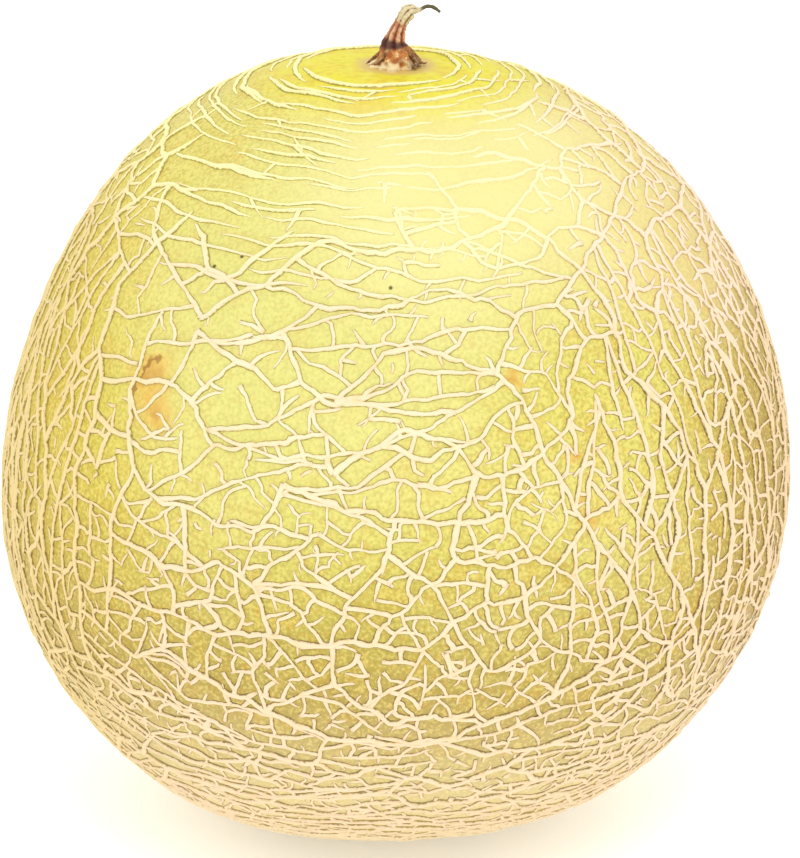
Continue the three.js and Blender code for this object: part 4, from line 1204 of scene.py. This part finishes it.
def dried_stem():
    """Dried stalk wood: matt and fibrous, terracotta with cream worn ridges and dark valleys, bleached to
    grey cream near the knob, with a blackish olive tail. Below a dark maroon collar, partly the stalk's own
    dark line and partly painted shade, the foot is orange brown cork with cream claws, and painted shade
    darkens its right side."""
    material, tree, place, axes = new_material("dried_stalk")
    own = add_node(tree, "ShaderNodeAttribute", {"attribute_name": "stem_place"}, {}).outputs["Vector"]
    parts = add_node(tree, "ShaderNodeSeparateXYZ", {}, {"Vector": own}).outputs
    along, ridge, claw = parts["X"], parts["Y"], parts["Z"]
    grains = [{"Vector": place, "Scale": 1 / size, "Detail": 3.0} for size in (STEM_FIBRE, STEM_PATCH)]
    fibre, patch = [add_node(tree, "ShaderNodeTexNoise", {}, each).outputs[0] for each in grains]
    past = add_node(tree, "ShaderNodeMath", {"operation": "SUBTRACT"}, {0: along, 1: STEM_COLLAR}).outputs[0]
    collar = add_node(tree, "ShaderNodeMath", {"operation": "ABSOLUTE"}, {0: past}).outputs[0]
    cork_layers = [
        (patch, 0.42, 0.6, 0.8, "#8e4a20"),
        (patch, 0.44, 0.36, 0.8, "#e8d8a6"),
        (claw, 0.35, 0.9, 0.85, "#e6d3a2"),
        (fibre, 0.55, 0.7, 0.5, "#7a4a26"),
        # painted shade: the right side of the foot darkened
        (axes["X"], 1.6 * MM, 3.6 * MM, 0.7, "#6b4626"),
    ]
    layers = [
        (patch, 0.45, 0.6, 0.6, "#a8562f"),
        (ridge, 0.2, 0.9, 0.6, "#e4c49a"),
        (along, 9.0, 11.0, 0.85, "#d3caa0"),
        (ridge, 0.0, -0.8, 0.8, "#5b2b1c"),
        (fibre, 0.5, 0.7, 0.35, "#6b3a22"),
        (along, 14.4, 15.6, 0.95, "#4b4526"),
        (along, 4.9, 3.9, 1.0, lay_colours(tree, linear("#c9853f"), cork_layers)),
        # dark collar: partly the stalk's own dark line, partly painted shade
        (collar, 1.3, 0.3, 0.9, "#3d100e"),
    ]
    coat(tree, lay_colours(tree, linear("#b87a56"), layers), 0.8, fibre, 0.6, 0.15 * MM)
    return material


stem_neck = stem_body()
stem_neck.data.materials.append(dried_stem())
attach(stem_neck, "root")
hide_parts("stem")

# Stem claws
# Thin dark roots of the stalk, dried and twisted, that run out over the crown between the broad claws of
# the foot, most of them on the right, and end in the skin.
CLAW_SAMPLES = 22
CLAW_SIDES = 12
CLAW_TOP = (2.2, 3.4)
CLAW_SWELL = 0.16
CLAW_TWIST = 0.3
CLAW_PATCH = 1.8 * MM
CLAW_FLECK = 0.5 * MM
THIN_CLAWS = [
    (-32, 5.9, 0.36), (-16, 5.4, 0.42), (-4, 6.3, 0.34), (12, 5.7, 0.42), (26, 6.1, 0.36), (44, 5.6, 0.45),
    (62, 5.5, 0.4), (-142, 6.2, 0.34), (176, 6.1, 0.36), (128, 5.9, 0.4), (94, 5.8, 0.36),
]


def claw_points(turn, reach, thickness, seed, twist):
    """One claw: it leaves the foot below the collar and thins to a tip on the skin. Its path wavers
    sideways, and its surface is lumpy."""
    t = np.linspace(0, 1, CLAW_SAMPLES)
    away = CLAW_TOP[0] + (reach - CLAW_TOP[0]) * t**0.85
    rise = CLAW_TOP[1] * (1 - t) ** 1.7 + 0.05
    angle = math.radians(turn) + twist * np.sin(t * 5 + seed) * t
    middles = np.stack([away * np.cos(angle), away * np.sin(angle), rise], axis=-1) * MM + STEM_BASE
    girth = thickness * (0.75 + 0.5 * np.sin(np.pi * t**0.8)) * (1 - t**6 * 0.8) * MM
    radii = np.repeat(girth[:, None], CLAW_SIDES, axis=1)
    lumps = waves(tube_points(middles, radii), 1.1 * MM, seed=80 + seed)
    return tube_points(middles, radii * (1 + CLAW_SWELL * lumps))


def claw_piece(name, claws, twist):
    """All claws of one kind as one mesh."""
    count = CLAW_SAMPLES * CLAW_SIDES
    tubes = [claw_points(*claw, seed, twist).reshape(-1, 3) for seed, claw in enumerate(claws)]
    faces = sum((tube_faces(CLAW_SAMPLES, CLAW_SIDES, seed * count) for seed in range(len(claws))), [])
    return mesh_piece(name, np.concatenate(tubes), faces)


def dark_claw_cork():
    """Cork of the stalk's thin roots, matt and crumbly: tan with dark brown patches and pale dry flecks."""
    material, tree, place, axes = new_material("dark_stem_claws")
    patch, fleck = [
        add_node(tree, "ShaderNodeTexNoise", {}, {"Vector": place, "Scale": 1 / size}).outputs[0]
        for size in (CLAW_PATCH, CLAW_FLECK)
    ]
    layers = [(patch, 0.45, 0.6, 0.7, "#4f2c14"), (fleck, 0.5, 0.65, 0.5, "#c9a878")]
    coat(tree, lay_colours(tree, linear("#8a6236"), layers), 0.85, fleck, 0.7, 0.2 * MM)
    return material


stem_claws = claw_piece("stem_claws", THIN_CLAWS, CLAW_TWIST)
stem_claws.data.materials.append(dark_claw_cork())
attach(stem_claws, "root")
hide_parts("stem")

# Studio
# A white floor and white surroundings, with one large soft light above the front right.
FLOOR_SIZE = 3.0
FLOOR_GLOW = 0.29
WORLD_WHITE = 1.14
KEY_SIZE = 0.7
KEY_POWER = 4.0
KEY_PLACE = (0.12, -0.7, 1.2)


def make_floor():
    """A level square of floor at the height that the melon rests on."""
    half = FLOOR_SIZE / 2
    points = np.array([[-half, -half, 0.0], [half, -half, 0.0], [half, half, 0.0], [-half, half, 0.0]])
    return mesh_piece("floor", points, [np.array([[0, 1, 2, 3]])])


def white_floor():
    """White acrylic lit softly from below, so pale that it disappears in the white surroundings."""
    material = bpy.data.materials.new("white_acrylic")
    material.use_nodes = True
    shader = material.node_tree.nodes["Principled BSDF"]
    shader.inputs["Base Color"].default_value = linear("#fafafa")
    shader.inputs["Roughness"].default_value = 1.0
    shader.inputs["Emission Color"].default_value = linear("#ffffff")
    shader.inputs["Emission Strength"].default_value = FLOOR_GLOW
    return material


floor = make_floor()
floor.data.materials.append(white_floor())

world = bpy.data.worlds.new("studio")
world.use_nodes = True
world.node_tree.nodes["Background"].inputs["Color"].default_value = (1.0, 1.0, 1.0, 1.0)
world.node_tree.nodes["Background"].inputs["Strength"].default_value = WORLD_WHITE
bpy.context.scene.world = world

key_data = bpy.data.lights.new("key", "AREA")
key_data.shape = "DISK"
key_data.size = KEY_SIZE
key_data.energy = KEY_POWER
key = bpy.data.objects.new("key", key_data)
key.location = KEY_PLACE
key.rotation_euler = (aim - key.location).to_track_quat("-Z", "Y").to_euler()
bpy.context.scene.collection.objects.link(key)

bpy.context.scene.view_settings.view_transform = "Standard"

bpy.context.view_layer.update()
